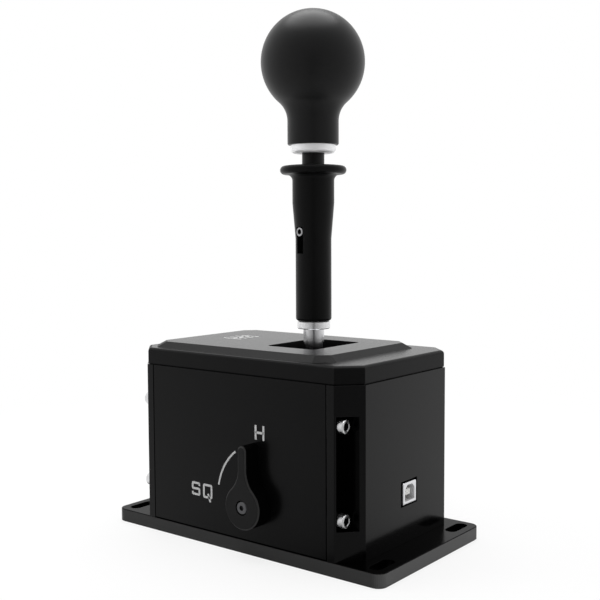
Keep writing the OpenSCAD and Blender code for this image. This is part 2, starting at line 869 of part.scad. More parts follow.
// Detent plate with a notch for neutral and one for each row of gears
module detent_sector() {
    skirt = sector_r * [sin(sector_spread), -1];
    color([0.45, 0.46, 0.48])
    at_pivot() translate([sector_x, 0, 0]) difference() {
        rotate([90, 0, 90]) linear_extrude(sector_t) difference() {
            union() {
                square(sector_tab, center = true);
                intersection() {
                    circle(r = sector_r);
                    polygon([[-skirt[0], 0], [-skirt[0], skirt[1]], skirt, [skirt[0], 0]]);
                }
            }
            circle(r = shoulder_r + thread_gap);
            for (a = [-gear_tilt, 0, gear_tilt]) rotate(a)
                translate([0, notch_depth - sector_r - notch_r]) circle(r = notch_r);
            for (y = [-1, 1]) translate([y * sector_screw_y, 0]) circle(r = m3_r + hole_gap);
        }
        translate([sector_t - magnet_t, 0, fore_z - pivot_z])
            along_x() cylinder(r = magnet_r + thread_gap, h = magnet_t + cut);
    }
}

module sector_screws() {
    color([0.30, 0.30, 0.32])
    for (y = [-1, 1]) at_pivot() translate([sector_x + sector_t, y * sector_screw_y, 0])
        along_x() m3_pan(sector_t + sector_screw_bite);
}

module detent_block() {
    color([0.50, 0.51, 0.53])
    difference() {
        translate([detent_x - block_size[0] / 2, lever_y - block_size[1] / 2, plate_t])
            cube([block_size[0], block_size[1], block_top - plate_t]);
        translate([detent_x, lever_y, plunger_top - plunger_l])
            cylinder(r = plunger_r + thread_gap, h = plunger_l + cut);
        for (y = [-1, 1]) translate([detent_x, lever_y + y * block_screw_y, plate_t - cut])
            cylinder(r = m4_r + thread_gap, h = screw_bite + 2 * cut);
    }
}

// Threaded body that holds the detent's ball and spring
module detent_plunger() {
    color([0.35, 0.35, 0.37])
    translate([detent_x, lever_y, plunger_top - plunger_l]) rotate_extrude() polygon([
        [0, 0], [plunger_r, 0], [plunger_r, plunger_l - plunger_bevel],
        [plunger_r - plunger_bevel, plunger_l], [plunger_bore_r, plunger_l],
        [plunger_bore_r, plunger_floor], [0, plunger_floor]
    ]);
}

module detent_spring() {
    foot = plunger_top - plunger_l + plunger_floor + thread_gap;
    color([0.70, 0.71, 0.73])
    translate([detent_x, lever_y, foot])
        coil(notch_r - 0.5, detent_wire, detent_top - 2 * notch_r - foot, centring_turns);
}

module detent_ball() {
    color([0.85, 0.86, 0.88])
    translate([detent_x, lever_y, detent_top - notch_r]) sphere(r = notch_r, $fn = 32);
}

// Block in the gimbal that carries the shaft above and the finger below
module hub() {
    color([0.50, 0.51, 0.53])
    at_pivot() difference() {
        translate([0, 0, -hub_down]) linear_extrude(hub_up + hub_down)
            octagon(hub_w / 2, hub_l / 2, hub_corner);
        translate([0, 0, shaft_seat]) cylinder(r = shaft_foot_r + thread_gap, h = hub_up);
        translate([0, 0, finger_root - pivot_z])
            cylinder(r = bore_r, h = pivot_z - finger_root + shaft_seat + cut);
        translate([0, 0, -hub_down - cut])
            cylinder(r = finger_root_r + thread_gap, h = finger_root - hub_foot + cut + hole_gap);
        both_y() translate([0, hub_l / 2 - hinge_depth, 0]) along_y()
            cylinder(r = hinge_pin_r + bush_wall + thread_gap, h = hinge_depth + cut);
        translate([0, hub_l / 2 - magnet_t, side_magnet_z - pivot_z]) along_y()
            cylinder(r = magnet_r + thread_gap, h = magnet_t + cut);
    }
}

module spring_bar() {
    color([0.45, 0.46, 0.48])
    translate([0, lever_y, bar_z]) difference() {
        translate([-bar_l / 2, -bar_w / 2, 0]) cube([bar_l, bar_w, bar_t]);
        translate([0, 0, -cut]) cylinder(r = finger_root_r + thread_gap, h = bar_t + 2 * cut);
        both_x() translate([spring_x, 0, bar_t - bar_seat]) cylinder(r = seat_r, h = bar_t);
    }
}

module centring_springs() {
    color([0.70, 0.71, 0.73])
    both_x() translate([spring_x, lever_y, spring_z0])
        coil(spring_r, centring_wire, spring_z1 - spring_z0, centring_turns);
}

// Gate

// Hollow finger with a collar under the bar and a ball that runs in the gate
module gate_finger() {
    low = -acos(needle_bore_r / ball_r);
    high = acos(stem_r / ball_r);
    color([0.68, 0.69, 0.71])
    translate([0, lever_y, 0]) rotate_extrude() polygon(concat(
        arc(0, ball_z, ball_r, low, high, 10),
        [
            [stem_r, ball_z + stem_l], [finger_root_r, bar_z - collar_h],
            [collar_r, bar_z - collar_h], [collar_r, bar_z], [finger_root_r, bar_z],
            [finger_root_r, finger_root], [needle_bore_r, finger_root]
        ]
    ));
}

// Comb of gear columns joined by the neutral channel
module gate_plate() {
    color([0.58, 0.59, 0.61])
    difference() {
        translate([-gate_size / 2, lever_y - gate_size / 2, gate_z])
            cube([gate_size, gate_size, gate_t]);
        translate([0, lever_y, gate_z - cut]) linear_extrude(gate_t + 2 * cut) {
            square([2 * gate_reach, channel_w], center = true);
            for (i = columns) translate([finger_l * sin(i * column_step), 0]) {
                square([channel_w, 2 * column_end - channel_w], center = true);
                for (y = [-1, 1]) translate([0, y * (column_end - channel_w / 2)])
                    circle(d = channel_w);
            }
        }
        at_gate_screws() translate([0, 0, gate_top]) mirror([0, 0, 1])
            countersink(m3_head_r + thread_gap, m3_r + hole_gap, gate_t + cut);
        for (y = guide_ys) translate([guide_x, y, gate_z - cut])
            cylinder(r = m3_r + thread_gap, h = gate_t + 2 * cut);
    }
}

module gate_spacers() {
    color([0.72, 0.53, 0.25])
    at_gate_screws() translate([0, 0, plate_t]) difference() {
        cylinder(d = spacer_d, h = gate_z - plate_t);
        translate([0, 0, -cut]) cylinder(r = m3_r + hole_gap, h = gate_z - plate_t + 2 * cut);
    }
}

module gate_screws() {
    color([0.30, 0.30, 0.32])
    at_gate_screws() translate([0, 0, gate_top]) mirror([0, 0, 1]) difference() {
        countersunk(m3_head_r, m3_r, gate_top - plate_t + gate_screw_bite);
        translate([0, 0, -cut]) cylinder(r = m3_hex_r, h = 1 + cut, $fn = 6);
    }
}

// Low wall under the gate that the lock pin meets on the way to the outermost column
module reverse_fence() {
    color([0.45, 0.46, 0.48])
    translate([-fence_x - fence_t, lever_y - fence_l / 2, gate_z - fence_h]) difference() {
        cube([fence_t, fence_l, fence_h]);
        translate([-cut, (fence_l - fence_dip[0]) / 2, fence_h - fence_dip[1]])
            cube([fence_t + 2 * cut, fence_dip[0], fence_dip[1] + cut]);
    }
}

// Lever above the hub

// Slot that lets the cross pin rise with the sleeve
module cross_slot(reach) {
    slot_r = cross_r + hole_gap;
    for (z = [cross_z, cross_z + lift]) facing(cross_turn, z)
        along_x() cylinder(r = slot_r, h = reach);
    facing(cross_turn, cross_z) translate([0, -slot_r, 0]) cube([reach, 2 * slot_r, lift]);
}

module guide_hole() {
    facing(guide_turn, guide_z) translate([rod_r + 0.6, 0, 0])
        along_x() cylinder(r = m3_r + thread_gap, h = tube_r);
}

module lever_shaft() {
    color([0.78, 0.79, 0.81])
    difference() {
        translate([0, lever_y, shaft_z]) {
            cylinder(r = shaft_foot_r, h = ring_z - shaft_z);
            cylinder(r = shaft_r, h = shaft_top - shaft_z);
        }
        translate([0, lever_y, shaft_z - cut]) cylinder(r = bore_r, h = spring_stop - shaft_z + cut);
        cross_slot(shaft_r + cut);
        guide_hole();
    }
}

module foot_ring() {
    color([0.76, 0.77, 0.79])
    translate([0, lever_y, ring_z]) rotate_extrude() polygon([
        [tube_bore_r, 0], [ring_r - soft_edge, 0], [ring_r, soft_edge],
        [ring_r, ring_h - soft_edge], [ring_r - soft_edge, ring_h], [tube_bore_r, ring_h]
    ]);
}

module guide_tube() {
    color([0.14, 0.14, 0.15])
    difference() {
        translate([0, lever_y, 0]) rotate_extrude() polygon([
            [tube_bore_r, tube_z], [tube_r, tube_z], [tube_r, tube_neck_z],
            [tube_neck_r, tube_neck_z], [tube_neck_r, neck_z], [tube_bore_r, neck_z]
        ]);
        cross_slot(tube_r + cut);
        guide_hole();
    }
}

// Screw in the guide tube whose head keys the sleeve and stops its travel
module guide_screw() {
    color([0.80, 0.80, 0.82])
    facing(guide_turn, guide_z) translate([tube_r + thread_gap, 0, 0]) along_x()
        cap_screw(guide_r, sleeve_r + guide_proud - tube_r, m3_r, tube_r - rod_r - 0.8, m3_hex_r);
}

// Collar between the guide tube and the knob
module neck_ring() {
    color([0.90, 0.90, 0.91])
    translate([0, lever_y, neck_z]) rotate_extrude() polygon(concat(
        [[tube_bore_r, 0]], arc(neck_ring_r - neck_round, neck_round, neck_round, -90, 0),
        [[neck_ring_r, neck_ring_h], [tube_bore_r, neck_ring_h]]
    ));
}

// Ball knob that runs into its neck through a hollow fillet
module knob() {
    reach = knob_r + knob_fillet;
    fillet_x = knob_neck_r + knob_fillet;
    fillet_z = knob_mid - sqrt(pow(reach, 2) - pow(fillet_x, 2));
    touch = 180 - acos(fillet_x / reach);
    sink = 0.2;
    color([0.06, 0.06, 0.065])
    translate([0, lever_y, knob_z]) difference() {
        union() {
            rotate_extrude() polygon(concat(
                [[0, 0], [knob_neck_r - 2 * soft_edge, 0], [knob_neck_r, 2 * soft_edge]],
                arc(fillet_x, fillet_z, knob_fillet, 180, touch, 12),
                [[fillet_x * (knob_r - sink) / reach, knob_mid], [0, knob_mid]]
            ));
            translate([0, 0, knob_mid]) sphere(r = knob_r, $fn = 96);
        }
        translate([0, 0, -cut]) cylinder(r = insert_r + thread_gap, h = knob_seat + 2 + cut);
    }
}

module knob_insert() {
    color([0.70, 0.71, 0.73])
    translate([0, lever_y, knob_z]) difference() {
        cylinder(r = insert_r, h = knob_seat + 2);
        translate([0, 0, -cut]) cylinder(r = shaft_r + thread_gap, h = knob_seat + cut);
    }
}

// Lift sleeve with its finger flange and the slot for the guide screw
module lift_sleeve() {
    rim = flange_h / 2;
    fillet_z = flange_z - flange_fillet;
    straight_z = tube_z + sleeve_straight;
    foot_round = 1.4;
    key_r = guide_r + slide_gap;
    color([0.08, 0.08, 0.085])
    difference() {
        translate([0, lever_y, 0]) rotate_extrude() polygon(concat(
            [[sleeve_bore_r, sleeve_z]],
            arc(sleeve_r - foot_round, sleeve_z + foot_round, foot_round, -90, 0),
            [[sleeve_r, straight_z], [sleeve_top_r, straight_z + sleeve_taper]],
            arc(sleeve_top_r + flange_fillet, fillet_z, flange_fillet, 180, 90),
            arc(flange_r - rim, flange_z + rim, rim, -90, 90, 12),
            [[sleeve_bore_r + soft_edge, sleeve_top], [sleeve_bore_r, sleeve_top - soft_edge]]
        ));
        facing(guide_turn, guide_z + key_r - slot_run)
            translate([sleeve_bore_r - cut, -key_r, 0]) cube([sleeve_r, 2 * key_r, slot_run]);
        facing(cross_turn, cross_z)
            along_x() cylinder(r = cross_r + thread_gap, h = sleeve_top_r + flange_fillet);
    }
}

module lock_cross_pin() {
    color([0.20, 0.20, 0.21])
    facing(cross_turn, cross_z) translate([-cross_root, 0, 0]) along_x()
        cylinder(r = cross_r, h = cross_root + sleeve_top_r - side_gap);
}

// Rod inside the shaft that ends in the thin pin below the gate ball
module lock_rod() {
    foot = pivot_z - lock_reach;
    color([0.75, 0.76, 0.78])
    difference() {
        translate([0, lever_y, 0]) rotate_extrude() polygon([
            [0, foot], [needle_r, foot], [needle_r, needle_top],
            [rod_r, needle_top], [rod_r, rod_top], [0, rod_top]
        ]);
        facing(cross_turn, cross_z) translate([-cross_root - thread_gap, 0, 0])
            along_x() cylinder(r = cross_r + thread_gap, h = rod_d);
    }
}

module lock_spring() {
    color([0.70, 0.71, 0.73])
    translate([0, lever_y, rod_top + thread_gap])
        coil(lock_spring_r, lock_wire, spring_stop - rod_top - 2 * thread_gap, lock_turns);
}

// Mode lever and fork

// Teardrop outline in the plane of the panel, moved in by inset
module teardrop(inset) {
    half = arm_w / 2 - inset;
    hollow_y = arm_w / 2 + arm_fillet;
    hollow_z = sqrt(pow(boss_r + arm_fillet, 2) - pow(hollow_y, 2));
    touch = boss_r / (boss_r + arm_fillet);
    tip_z = mode_l - arm_w / 2;
    circle(r = boss_r - inset);
    translate([0, tip_z]) circle(r = half);
    translate([-half, 0]) square([2 * half, tip_z]);
    difference() {
        polygon([
            [-hollow_y * touch, hollow_z * touch], [-half, hollow_z], [half, hollow_z],
            [hollow_y * touch, hollow_z * touch], [0, 0]
        ]);
        for (s = [-1, 1]) translate([s * hollow_y, hollow_z]) circle(r = arm_fillet + inset);
    }
}

// Child in the mode lever's own frame: Y up, Z out of the panel
module at_mode_face() {
    translate([mode_face_x, mode_y, mode_z]) rotate([90, 0, -90]) children();
}

module mode_lever() {
    color([0.10, 0.10, 0.11])
    at_mode_face() difference() {
        union() {
            linear_extrude(mode_t - mode_bevel) teardrop(0);
            linear_extrude(mode_t - mode_bevel / 2) teardrop(mode_bevel / 2);
            linear_extrude(mode_t) teardrop(mode_bevel);
        }
        translate([0, 0, -cut]) cylinder(r = mode_shaft_r + thread_gap, h = mode_seat + cut);
        cylinder(r = m4_r + hole_gap, h = mode_t + cut);
        translate([0, 0, mode_t - mode_screw_dip])
            cylinder(r = m4_head_r + hole_gap, h = mode_screw_dip + cut);
    }
}

module mode_screw() {
    color([0.45, 0.46, 0.48])
    at_mode_face() translate([0, 0, mode_t - mode_screw_dip]) difference() {
        union() {
            rotate_extrude() polygon([
                [0, 0], [m4_head_r - side_gap, 0], [m4_head_r - side_gap, mode_screw_dip - soft_edge],
                [m4_head_r - side_gap - soft_edge, mode_screw_dip], [0, mode_screw_dip]
            ]);
            translate([0, 0, -mode_screw_l]) cylinder(r = m4_r, h = mode_screw_l);
        }
        translate([0, 0, 0.5]) cylinder(r = m3_hex_r * 1.2, h = mode_screw_dip, $fn = 6);
    }
}

module mode_shaft() {
    color([0.72, 0.73, 0.75])
    translate([mode_face_x - mode_seat, mode_y, mode_z]) along_x() difference() {
        cylinder(r = mode_shaft_r, h = crank_x + crank_t - mode_face_x + mode_seat);
        translate([0, 0, -cut]) cylinder(r = m4_r + thread_gap, h = mode_screw_l + cut);
    }
}

module mode_bush() {
    color([0.72, 0.53, 0.25])
    translate([-half_w, mode_y, mode_z]) along_x() difference() {
        cylinder(r = bush_r, h = panel_t);
        translate([0, 0, -cut]) cylinder(r = mode_shaft_r + running_gap, h = panel_t + 2 * cut);
    }
}

// Crank inside the panel whose pin drives the fork
module mode_crank() {
    arm = [0, crank_pin_y - mode_y, crank_pin_z - mode_z];
    color([0.50, 0.51, 0.53])
    translate([crank_x, mode_y, mode_z]) {
        difference() {
            hull() {
                along_x() cylinder(r = mode_shaft_r + crank_wall, h = crank_t, $fn = 32);
                translate(arm) along_x() cylinder(r = 2 * crank_pin_r, h = crank_t, $fn = 32);
            }
            translate([-cut, 0, 0]) along_x()
                cylinder(r = mode_shaft_r + thread_gap, h = crank_t + 2 * cut);
        }
        translate(arm) along_x() cylinder(r = crank_pin_r, h = crank_t + side_gap + web_t - slide_gap);
    }
}

// Sheet fork: a web at the crank, a strip on two guide screws, and two prongs
module mode_fork() {
    slot_half = crank_pin_r + crank_play;
    web_z = web_slot_z0 - web_rim;
    color([0.60, 0.61, 0.63])
    difference() {
        union() {
            translate([web_x, crank_pin_y - web_l / 2, web_z])
                cube([web_t, web_l, max(web_slot_z1 + web_rim, fork_top) - web_z]);
            translate([web_x, crank_pin_y - web_l / 2, fork_z])
                cube([strip_x - web_x + cut, web_l, fork_t]);
            translate([strip_x, strip_y, fork_z])
                cube([strip_w, prong_root + root_l - strip_y, fork_t]);
            translate([strip_x, prong_root, fork_z])
                cube([prong_in + prong_w - strip_x, root_l, fork_t]);
            both_x() translate([prong_in, prong_tip, fork_z])
                cube([prong_w, prong_root - prong_tip + cut, fork_t]);
        }
        translate([web_x - cut, crank_pin_y - slot_half, web_slot_z0])
            cube([web_t + 2 * cut, 2 * slot_half, web_slot_z1 - web_slot_z0]);
        translate([guide_x - m3_r - hole_gap, guide_slot_y, fork_z - cut])
            cube([2 * (m3_r + hole_gap), guide_slot_l, fork_t + 2 * cut]);
    }
}

module fork_guides() {
    color([0.30, 0.30, 0.32])
    for (y = guide_ys) translate([guide_x, y, fork_top + hole_gap])
        cap_screw(guide_head[0], guide_head[1], m3_r, fork_top + hole_gap - gate_z, m3_hex_r);
}

// Switch that the fork's web presses while the mode lever stands upright
module mode_switch() {
    foot = [web_x + (web_t - switch_size[0]) / 2, crank_pin_y + web_l / 2 + switch_gap, plate_t];
    button = [2, switch_gap - side_gap, 2];
    color([0.09, 0.09, 0.10]) {
        translate(foot) cube(switch_size);
        translate(foot + [(switch_size[0] - button[0]) / 2, -button[1], switch_size[2] - 3])
            cube(button);
    }
}

// Port and boards

module port_opening() {
    w = port_hole[0] / 2;
    h = port_hole[1] / 2;
    b = port_hole_bevel;
    polygon([[-w, -h], [w, -h], [w, h - b], [w - b, h], [b - w, h], [-w, h - b]]);
}

module port_shell() {
    color([0.82, 0.83, 0.84])
    difference() {
        translate([port_x - port_w / 2, port_y, board_top]) cube([port_w, port_d, port_h]);
        translate([port_x, port_y + port_hole_d, port_z]) rotate([90, 0, 0])
            linear_extrude(port_hole_d + cut) port_opening();
    }
}

module port_tongue() {
    color([0.88, 0.88, 0.86])
    translate([port_x - tongue_size[0] / 2, port_y + port_hole_d - tongue_size[1],
        port_z - tongue_size[2] / 2]) cube(tongue_size);
}

module main_board() {
    color([0.05, 0.22, 0.12])
    difference() {
        translate([-board_size[0] / 2, board_y, board_z])
            cube([board_size[0], board_size[1], board_t]);
        at_standoffs() translate([0, 0, board_z - cut])
            cylinder(r = m3_r + hole_gap, h = board_t + 2 * cut);
    }
}

module board_standoffs() {
    color([0.72, 0.53, 0.25])
    at_standoffs() difference() {
        union() {
            translate([0, 0, plate_t]) cylinder(r = standoff_r, h = board_z - plate_t, $fn = 6);
            translate([0, 0, plate_t - standoff_stud]) cylinder(r = m3_r, h = standoff_stud);
        }
        translate([0, 0, board_z - board_screw_bite - 1])
            cylinder(r = m3_r + thread_gap, h = board_screw_bite + 1 + cut);
    }
}

module board_screws() {
    color([0.75, 0.76, 0.78]) {
        at_standoffs() translate([0, 0, board_top]) m3_pan(board_screw_l);
        at_fore_screws() translate([0, 0, -board_t]) mirror([0, 0, 1]) m3_pan(board_screw_l);
    }
}

module board_chips() {
    color([0.08, 0.08, 0.09]) {
        translate([chip_x, port_y + port_d, board_top]) cube(chip_size);
        translate([port_x + port_w / 2 + plug_gap, port_y + port_d, board_top]) cube(plug_size);
        translate([inner_x - board_t - hall_size[1], lever_y - hall_size[0] / 2,
            fore_z - hall_size[2] / 2]) cube([hall_size[1], hall_size[0], hall_size[2]]);
    }
}

module fore_sensor_board() {
    color([0.05, 0.22, 0.12])
    difference() {
        translate([inner_x - board_t, lever_y - fore_board[0] / 2, fore_z - fore_board[1] / 2])
            cube([board_t, fore_board[0], fore_board[1]]);
        at_fore_screws() translate([0, 0, -board_t - cut])
            cylinder(r = m3_r + hole_gap, h = board_t + 2 * cut);
    }
}

module fore_magnet() {
    color([0.66, 0.67, 0.70])
    translate([sector_x + sector_t - magnet_t, lever_y, fore_z])
        along_x() cylinder(r = magnet_r, h = magnet_t);
}

module side_sensor_board() {
    color([0.05, 0.22, 0.12])
    translate([-side_board[0] / 2, side_board_y, side_board_z])
        cube([side_board[0], board_t, side_board[1]]);
}

module side_sensor_chip() {
    color([0.08, 0.08, 0.09])
    translate([-hall_size[0] / 2, side_board_y - hall_size[1], side_magnet_z - hall_size[2] / 2])
        cube(hall_size);
}

module side_magnet() {
    color([0.66, 0.67, 0.70])
    translate([0, lever_y + hub_l / 2 - magnet_t, side_magnet_z])
        along_y() cylinder(r = magnet_r, h = magnet_t);
}

base_plate();
front_wall();
rear_wall();
left_panel();
right_panel();
top_cover();
corner_screws();
base_screws();
cover_screws();
bearing_outer_rings();
bearing_balls();
bearing_inner_rings();
gimbal_frame();
hinge_pins();
detent_sector();
sector_screws();
detent_block();
detent_plunger();
detent_spring();
detent_ball();
hub();
hinge_bushes();
spring_bar();
centring_springs();
gate_finger();
gate_plate();
gate_spacers();
gate_screws();
reverse_fence();
lever_shaft();
foot_ring();
guide_tube();
guide_screw();
neck_ring();
knob();
knob_insert();
lift_sleeve();
lock_cross_pin();
lock_rod();
lock_spring();
mode_lever();
mode_screw();
mode_shaft();
mode_bush();
mode_crank();
mode_fork();
fork_guides();
mode_switch();
port_shell();
port_tongue();
main_board();
board_standoffs();
board_screws();
board_chips();
fore_sensor_board();
fore_magnet();
side_sensor_board();
side_sensor_chip();
side_magnet();
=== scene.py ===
# Gear shifter for a driving rig: a ball-knob lever over a black gate housing, with a small
# mode lever on its left panel. New shapes are numpy surfaces in mm, in the model's own frame.
# Lengths in shaders, the room and the view are in metres.
import math
import bpy
import numpy as np
from mathutils import Matrix


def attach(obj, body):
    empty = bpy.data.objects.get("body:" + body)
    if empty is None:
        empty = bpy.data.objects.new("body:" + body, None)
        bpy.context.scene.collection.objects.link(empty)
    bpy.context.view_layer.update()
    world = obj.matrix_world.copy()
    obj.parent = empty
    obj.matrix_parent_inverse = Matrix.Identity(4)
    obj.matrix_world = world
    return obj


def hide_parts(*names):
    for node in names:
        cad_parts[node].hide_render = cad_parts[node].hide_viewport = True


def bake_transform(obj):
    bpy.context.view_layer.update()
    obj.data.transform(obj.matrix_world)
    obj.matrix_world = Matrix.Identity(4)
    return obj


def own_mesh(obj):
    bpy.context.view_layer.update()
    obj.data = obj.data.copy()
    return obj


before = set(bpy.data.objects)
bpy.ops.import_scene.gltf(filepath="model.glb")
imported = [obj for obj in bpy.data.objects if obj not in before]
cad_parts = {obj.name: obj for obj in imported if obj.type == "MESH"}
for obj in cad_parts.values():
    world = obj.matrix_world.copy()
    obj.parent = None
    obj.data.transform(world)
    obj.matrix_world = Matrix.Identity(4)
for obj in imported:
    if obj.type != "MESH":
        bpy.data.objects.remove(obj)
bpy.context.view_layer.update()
print("frame loaded")

mm = 0.001


# Node graphs

class Wire:
    # One shader socket. Python's own operators on it add the Math nodes they stand for.
    def __init__(self, graph, socket):
        self.graph = graph
        self.socket = socket

    def __add__(self, other):
        return self.graph.math("ADD", self, other)

    def __radd__(self, other):
        return self.graph.math("ADD", other, self)

    def __sub__(self, other):
        return self.graph.math("SUBTRACT", self, other)

    def __rsub__(self, other):
        return self.graph.math("SUBTRACT", other, self)

    def __mul__(self, other):
        return self.graph.math("MULTIPLY", self, other)

    def __rmul__(self, other):
        return self.graph.math("MULTIPLY", other, self)


class Graph:
    # A node tree, emptied, with one method that adds any node
    def __init__(self, tree, material=None):
        self.tree = tree
        self.material = material
        tree.nodes.clear()

    def node(self, kind, settings=None, inputs=None, output=0):
        # Stops are a ramp's places and tones, and each input is a value or a wire
        made = self.tree.nodes.new(kind)
        for key, value in (settings or {}).items():
            if key == "stops":
                ramp = made.color_ramp.elements
                while len(ramp) < len(value):
                    ramp.new(1.0)
                for stop, (place, tone) in zip(ramp, value):
                    stop.position = place
                    stop.color = (tone, tone, tone, 1.0)
            else:
                setattr(made, key, value)
        for key, value in (inputs or {}).items():
            if isinstance(value, Wire):
                self.tree.links.new(value.socket, made.inputs[key])
            else:
                made.inputs[key].default_value = value
        return Wire(self, made.outputs[output]) if made.outputs else None

    def math(self, operation, a, b):
        return self.node("ShaderNodeMath", {"operation": operation}, {0: a, 1: b})

    def vector(self, operation, inputs, output=0):
        return self.node("ShaderNodeVectorMath", {"operation": operation}, inputs, output)

    def place(self):
        return self.node("ShaderNodeTexCoord", output="Object")

    def noise(self, scale, detail, roughness=0.5, stretch=(1, 1, 1)):
        where = self.node("ShaderNodeMapping", None, {"Vector": self.place(), "Scale": stretch})
        return self.node("ShaderNodeTexNoise", None, {
            "Vector": where, "Scale": scale, "Detail": detail, "Roughness": roughness})

    def ramp(self, value, stops):
        return self.node("ShaderNodeValToRGB", {"stops": stops}, {"Fac": value})

    def blend(self, factor, a, b):
        # Colour a where factor is 0 and colour b where it is 1
        return self.node("ShaderNodeMix", {"data_type": "RGBA"},
                         {"Factor": factor, "A": rgba(a), "B": rgba(b)}, output="Result")

    def bump(self, height, strength, depth, normal):
        return self.node("ShaderNodeBump", None, {
            "Height": height, "Strength": strength, "Distance": depth, "Normal": normal})

    def roundEdge(self, radius):
        return self.node("ShaderNodeBevel", {"samples": 6}, {"Radius": radius})

    def between(self, value, low, high):
        # 0 at low, 1 at high, straight between them
        return self.node("ShaderNodeMapRange", None,
                         {"Value": value, "From Min": low, "From Max": high})

    def split(self, vector):
        # The three parts of a vector
        made = self.node("ShaderNodeSeparateXYZ", None, {"Vector": vector})
        return [Wire(self, part) for part in made.socket.node.outputs]

    def size(self, value):
        return self.math("ABSOLUTE", value, 0.0)

    def within(self, value, low, high):
        # 1 between low and high, else 0
        return self.math("GREATER_THAN", value, low) * self.math("LESS_THAN", value, high)

    def facing(self, axis):
        # How squarely the surface faces along an axis, 0 to 1
        normal = self.node("ShaderNodeTexCoord", output="Normal")
        return self.size(self.split(normal)[axis])

    def finish(self, inputs, paintedShade=None):
        # The last argument is the share of the surface painted black as shade, in a gap, a recess
        # or on a side out of the light
        shader = self.node("ShaderNodeBsdfPrincipled", None, inputs)
        if paintedShade is not None:
            black = self.node("ShaderNodeBsdfDiffuse", None, {"Color": rgba(paintedShadeBlack)})
            shader = self.node("ShaderNodeMixShader", None, {0: paintedShade, 1: shader, 2: black})
        self.node("ShaderNodeOutputMaterial", None, {"Surface": shader})
        return self.material


def rgba(colour):
    # A wire as it is, and three numbers with an alpha of 1
    if isinstance(colour, Wire):
        return colour
    return (*colour, 1.0)


def coating(name):
    # The graph of a new material
    material = bpy.data.materials.new(name)
    material.use_nodes = True
    return Graph(material.node_tree, material)


def linked(name, data):
    # A new object in the scene
    made = bpy.data.objects.new(name, data)
    bpy.context.collection.objects.link(made)
    return made


# Finishes

# The black of painted shade in gaps, recesses and shaded sides
paintedShadeBlack = (0.0004, 0.0004, 0.0004)

seams = {"width": 0.0006, "panelEnd": 0.0578, "panelFoot": 0.007}


def paintedSeamShade(g):
    # Painted shade: the gaps that a side panel leaves to the end walls and the base plate, painted
    # black along the panel's ends and foot
    y, z = g.split(g.place())[1:]
    ends = g.math("GREATER_THAN", g.size(y), seams["panelEnd"] - seams["width"])
    foot = g.math("LESS_THAN", z, seams["panelFoot"] + seams["width"])
    return g.math("MAXIMUM", ends, foot)


pockets = {"cut": 0.1089, "side": 0.0384, "back": 0.0619, "low": 0.0214, "top": 0.0756,
           "shade": 0.8}


def paintedPocketShade(g):
    # Painted shade: the inside of the four screw pockets, behind the plane |x| + |y| = cut, painted
    # mostly black
    x, y, z = g.split(g.place())
    x, y = g.size(x), g.size(y)
    behind = g.math("LESS_THAN", x + y, pockets["cut"])
    inside = g.math("GREATER_THAN", x, pockets["side"]) * g.math("GREATER_THAN", y, pockets["back"])
    return behind * inside * g.within(z, pockets["low"], pockets["top"]) * pockets["shade"]


plateSide = {"x": 0.047, "y": 0.088, "depth": 0.002, "level": 0.6, "long": 0.4}


def paintedPlateSideLight(g):
    # Painted light: the plate's sawn sides, without the walls of its slots, are painted lighter as
    # if lit. The short ends have the whole share and the long sides a part of it.
    x, y = g.split(g.place())[:2]
    outer = g.math("MAXIMUM", g.size(x) - plateSide["x"], g.size(y) - plateSide["y"])
    near = g.math("GREATER_THAN", outer, -plateSide["depth"])
    steep = near * g.math("LESS_THAN", g.facing(2), plateSide["level"])
    return steep * (plateSide["long"] + g.facing(1) * (1 - plateSide["long"]))


leverEdge = {"y": -0.013, "z": 0.0265, "screw": 0.0055, "foot": 0.05555, "top": 0.05625,
             "steep": 0.45, "shade": 0.85}


def paintedLeverRimHighlight(g):
    # Painted highlight: the bevel round the mode lever's face, outside a circle round its screw,
    # painted lighter as if it caught the light
    x, y, z = g.split(g.place())
    y, z = y - leverEdge["y"], z - leverEdge["z"]
    outside = g.math("GREATER_THAN", y * y + z * z, leverEdge["screw"] ** 2)
    return outside * g.within(g.size(x), leverEdge["foot"], leverEdge["top"])


def paintedLeverSideShade(g):
    # Painted shade: the mode lever's side walls below its bevel, painted mostly black as their own
    # shade
    x = g.split(g.place())[0]
    steep = g.math("LESS_THAN", g.facing(0), leverEdge["steep"])
    return steep * g.math("LESS_THAN", g.size(x), leverEdge["foot"]) * leverEdge["shade"]


def scaled(tone, share):
    # A tone made darker or lighter
    return tuple(c * share for c in tone)


def swing(value, width):
    # A noise's 0 to 1 as a change of half the width to either side
    return (value - 0.5) * width


# Noises are given as scale, detail and, where it isn't the usual one, roughness. shine is how
# far the roughness swings, and bump and depth are the Bump node's strength and distance.
anodising = {"clouds": (55, 3), "cloud": 0.25, "blast": (5200, 2, 0.6), "spots": (900, 2),
             "shine": 0.08, "bump": 0.16, "depth": 0.00004, "level": 0.97}


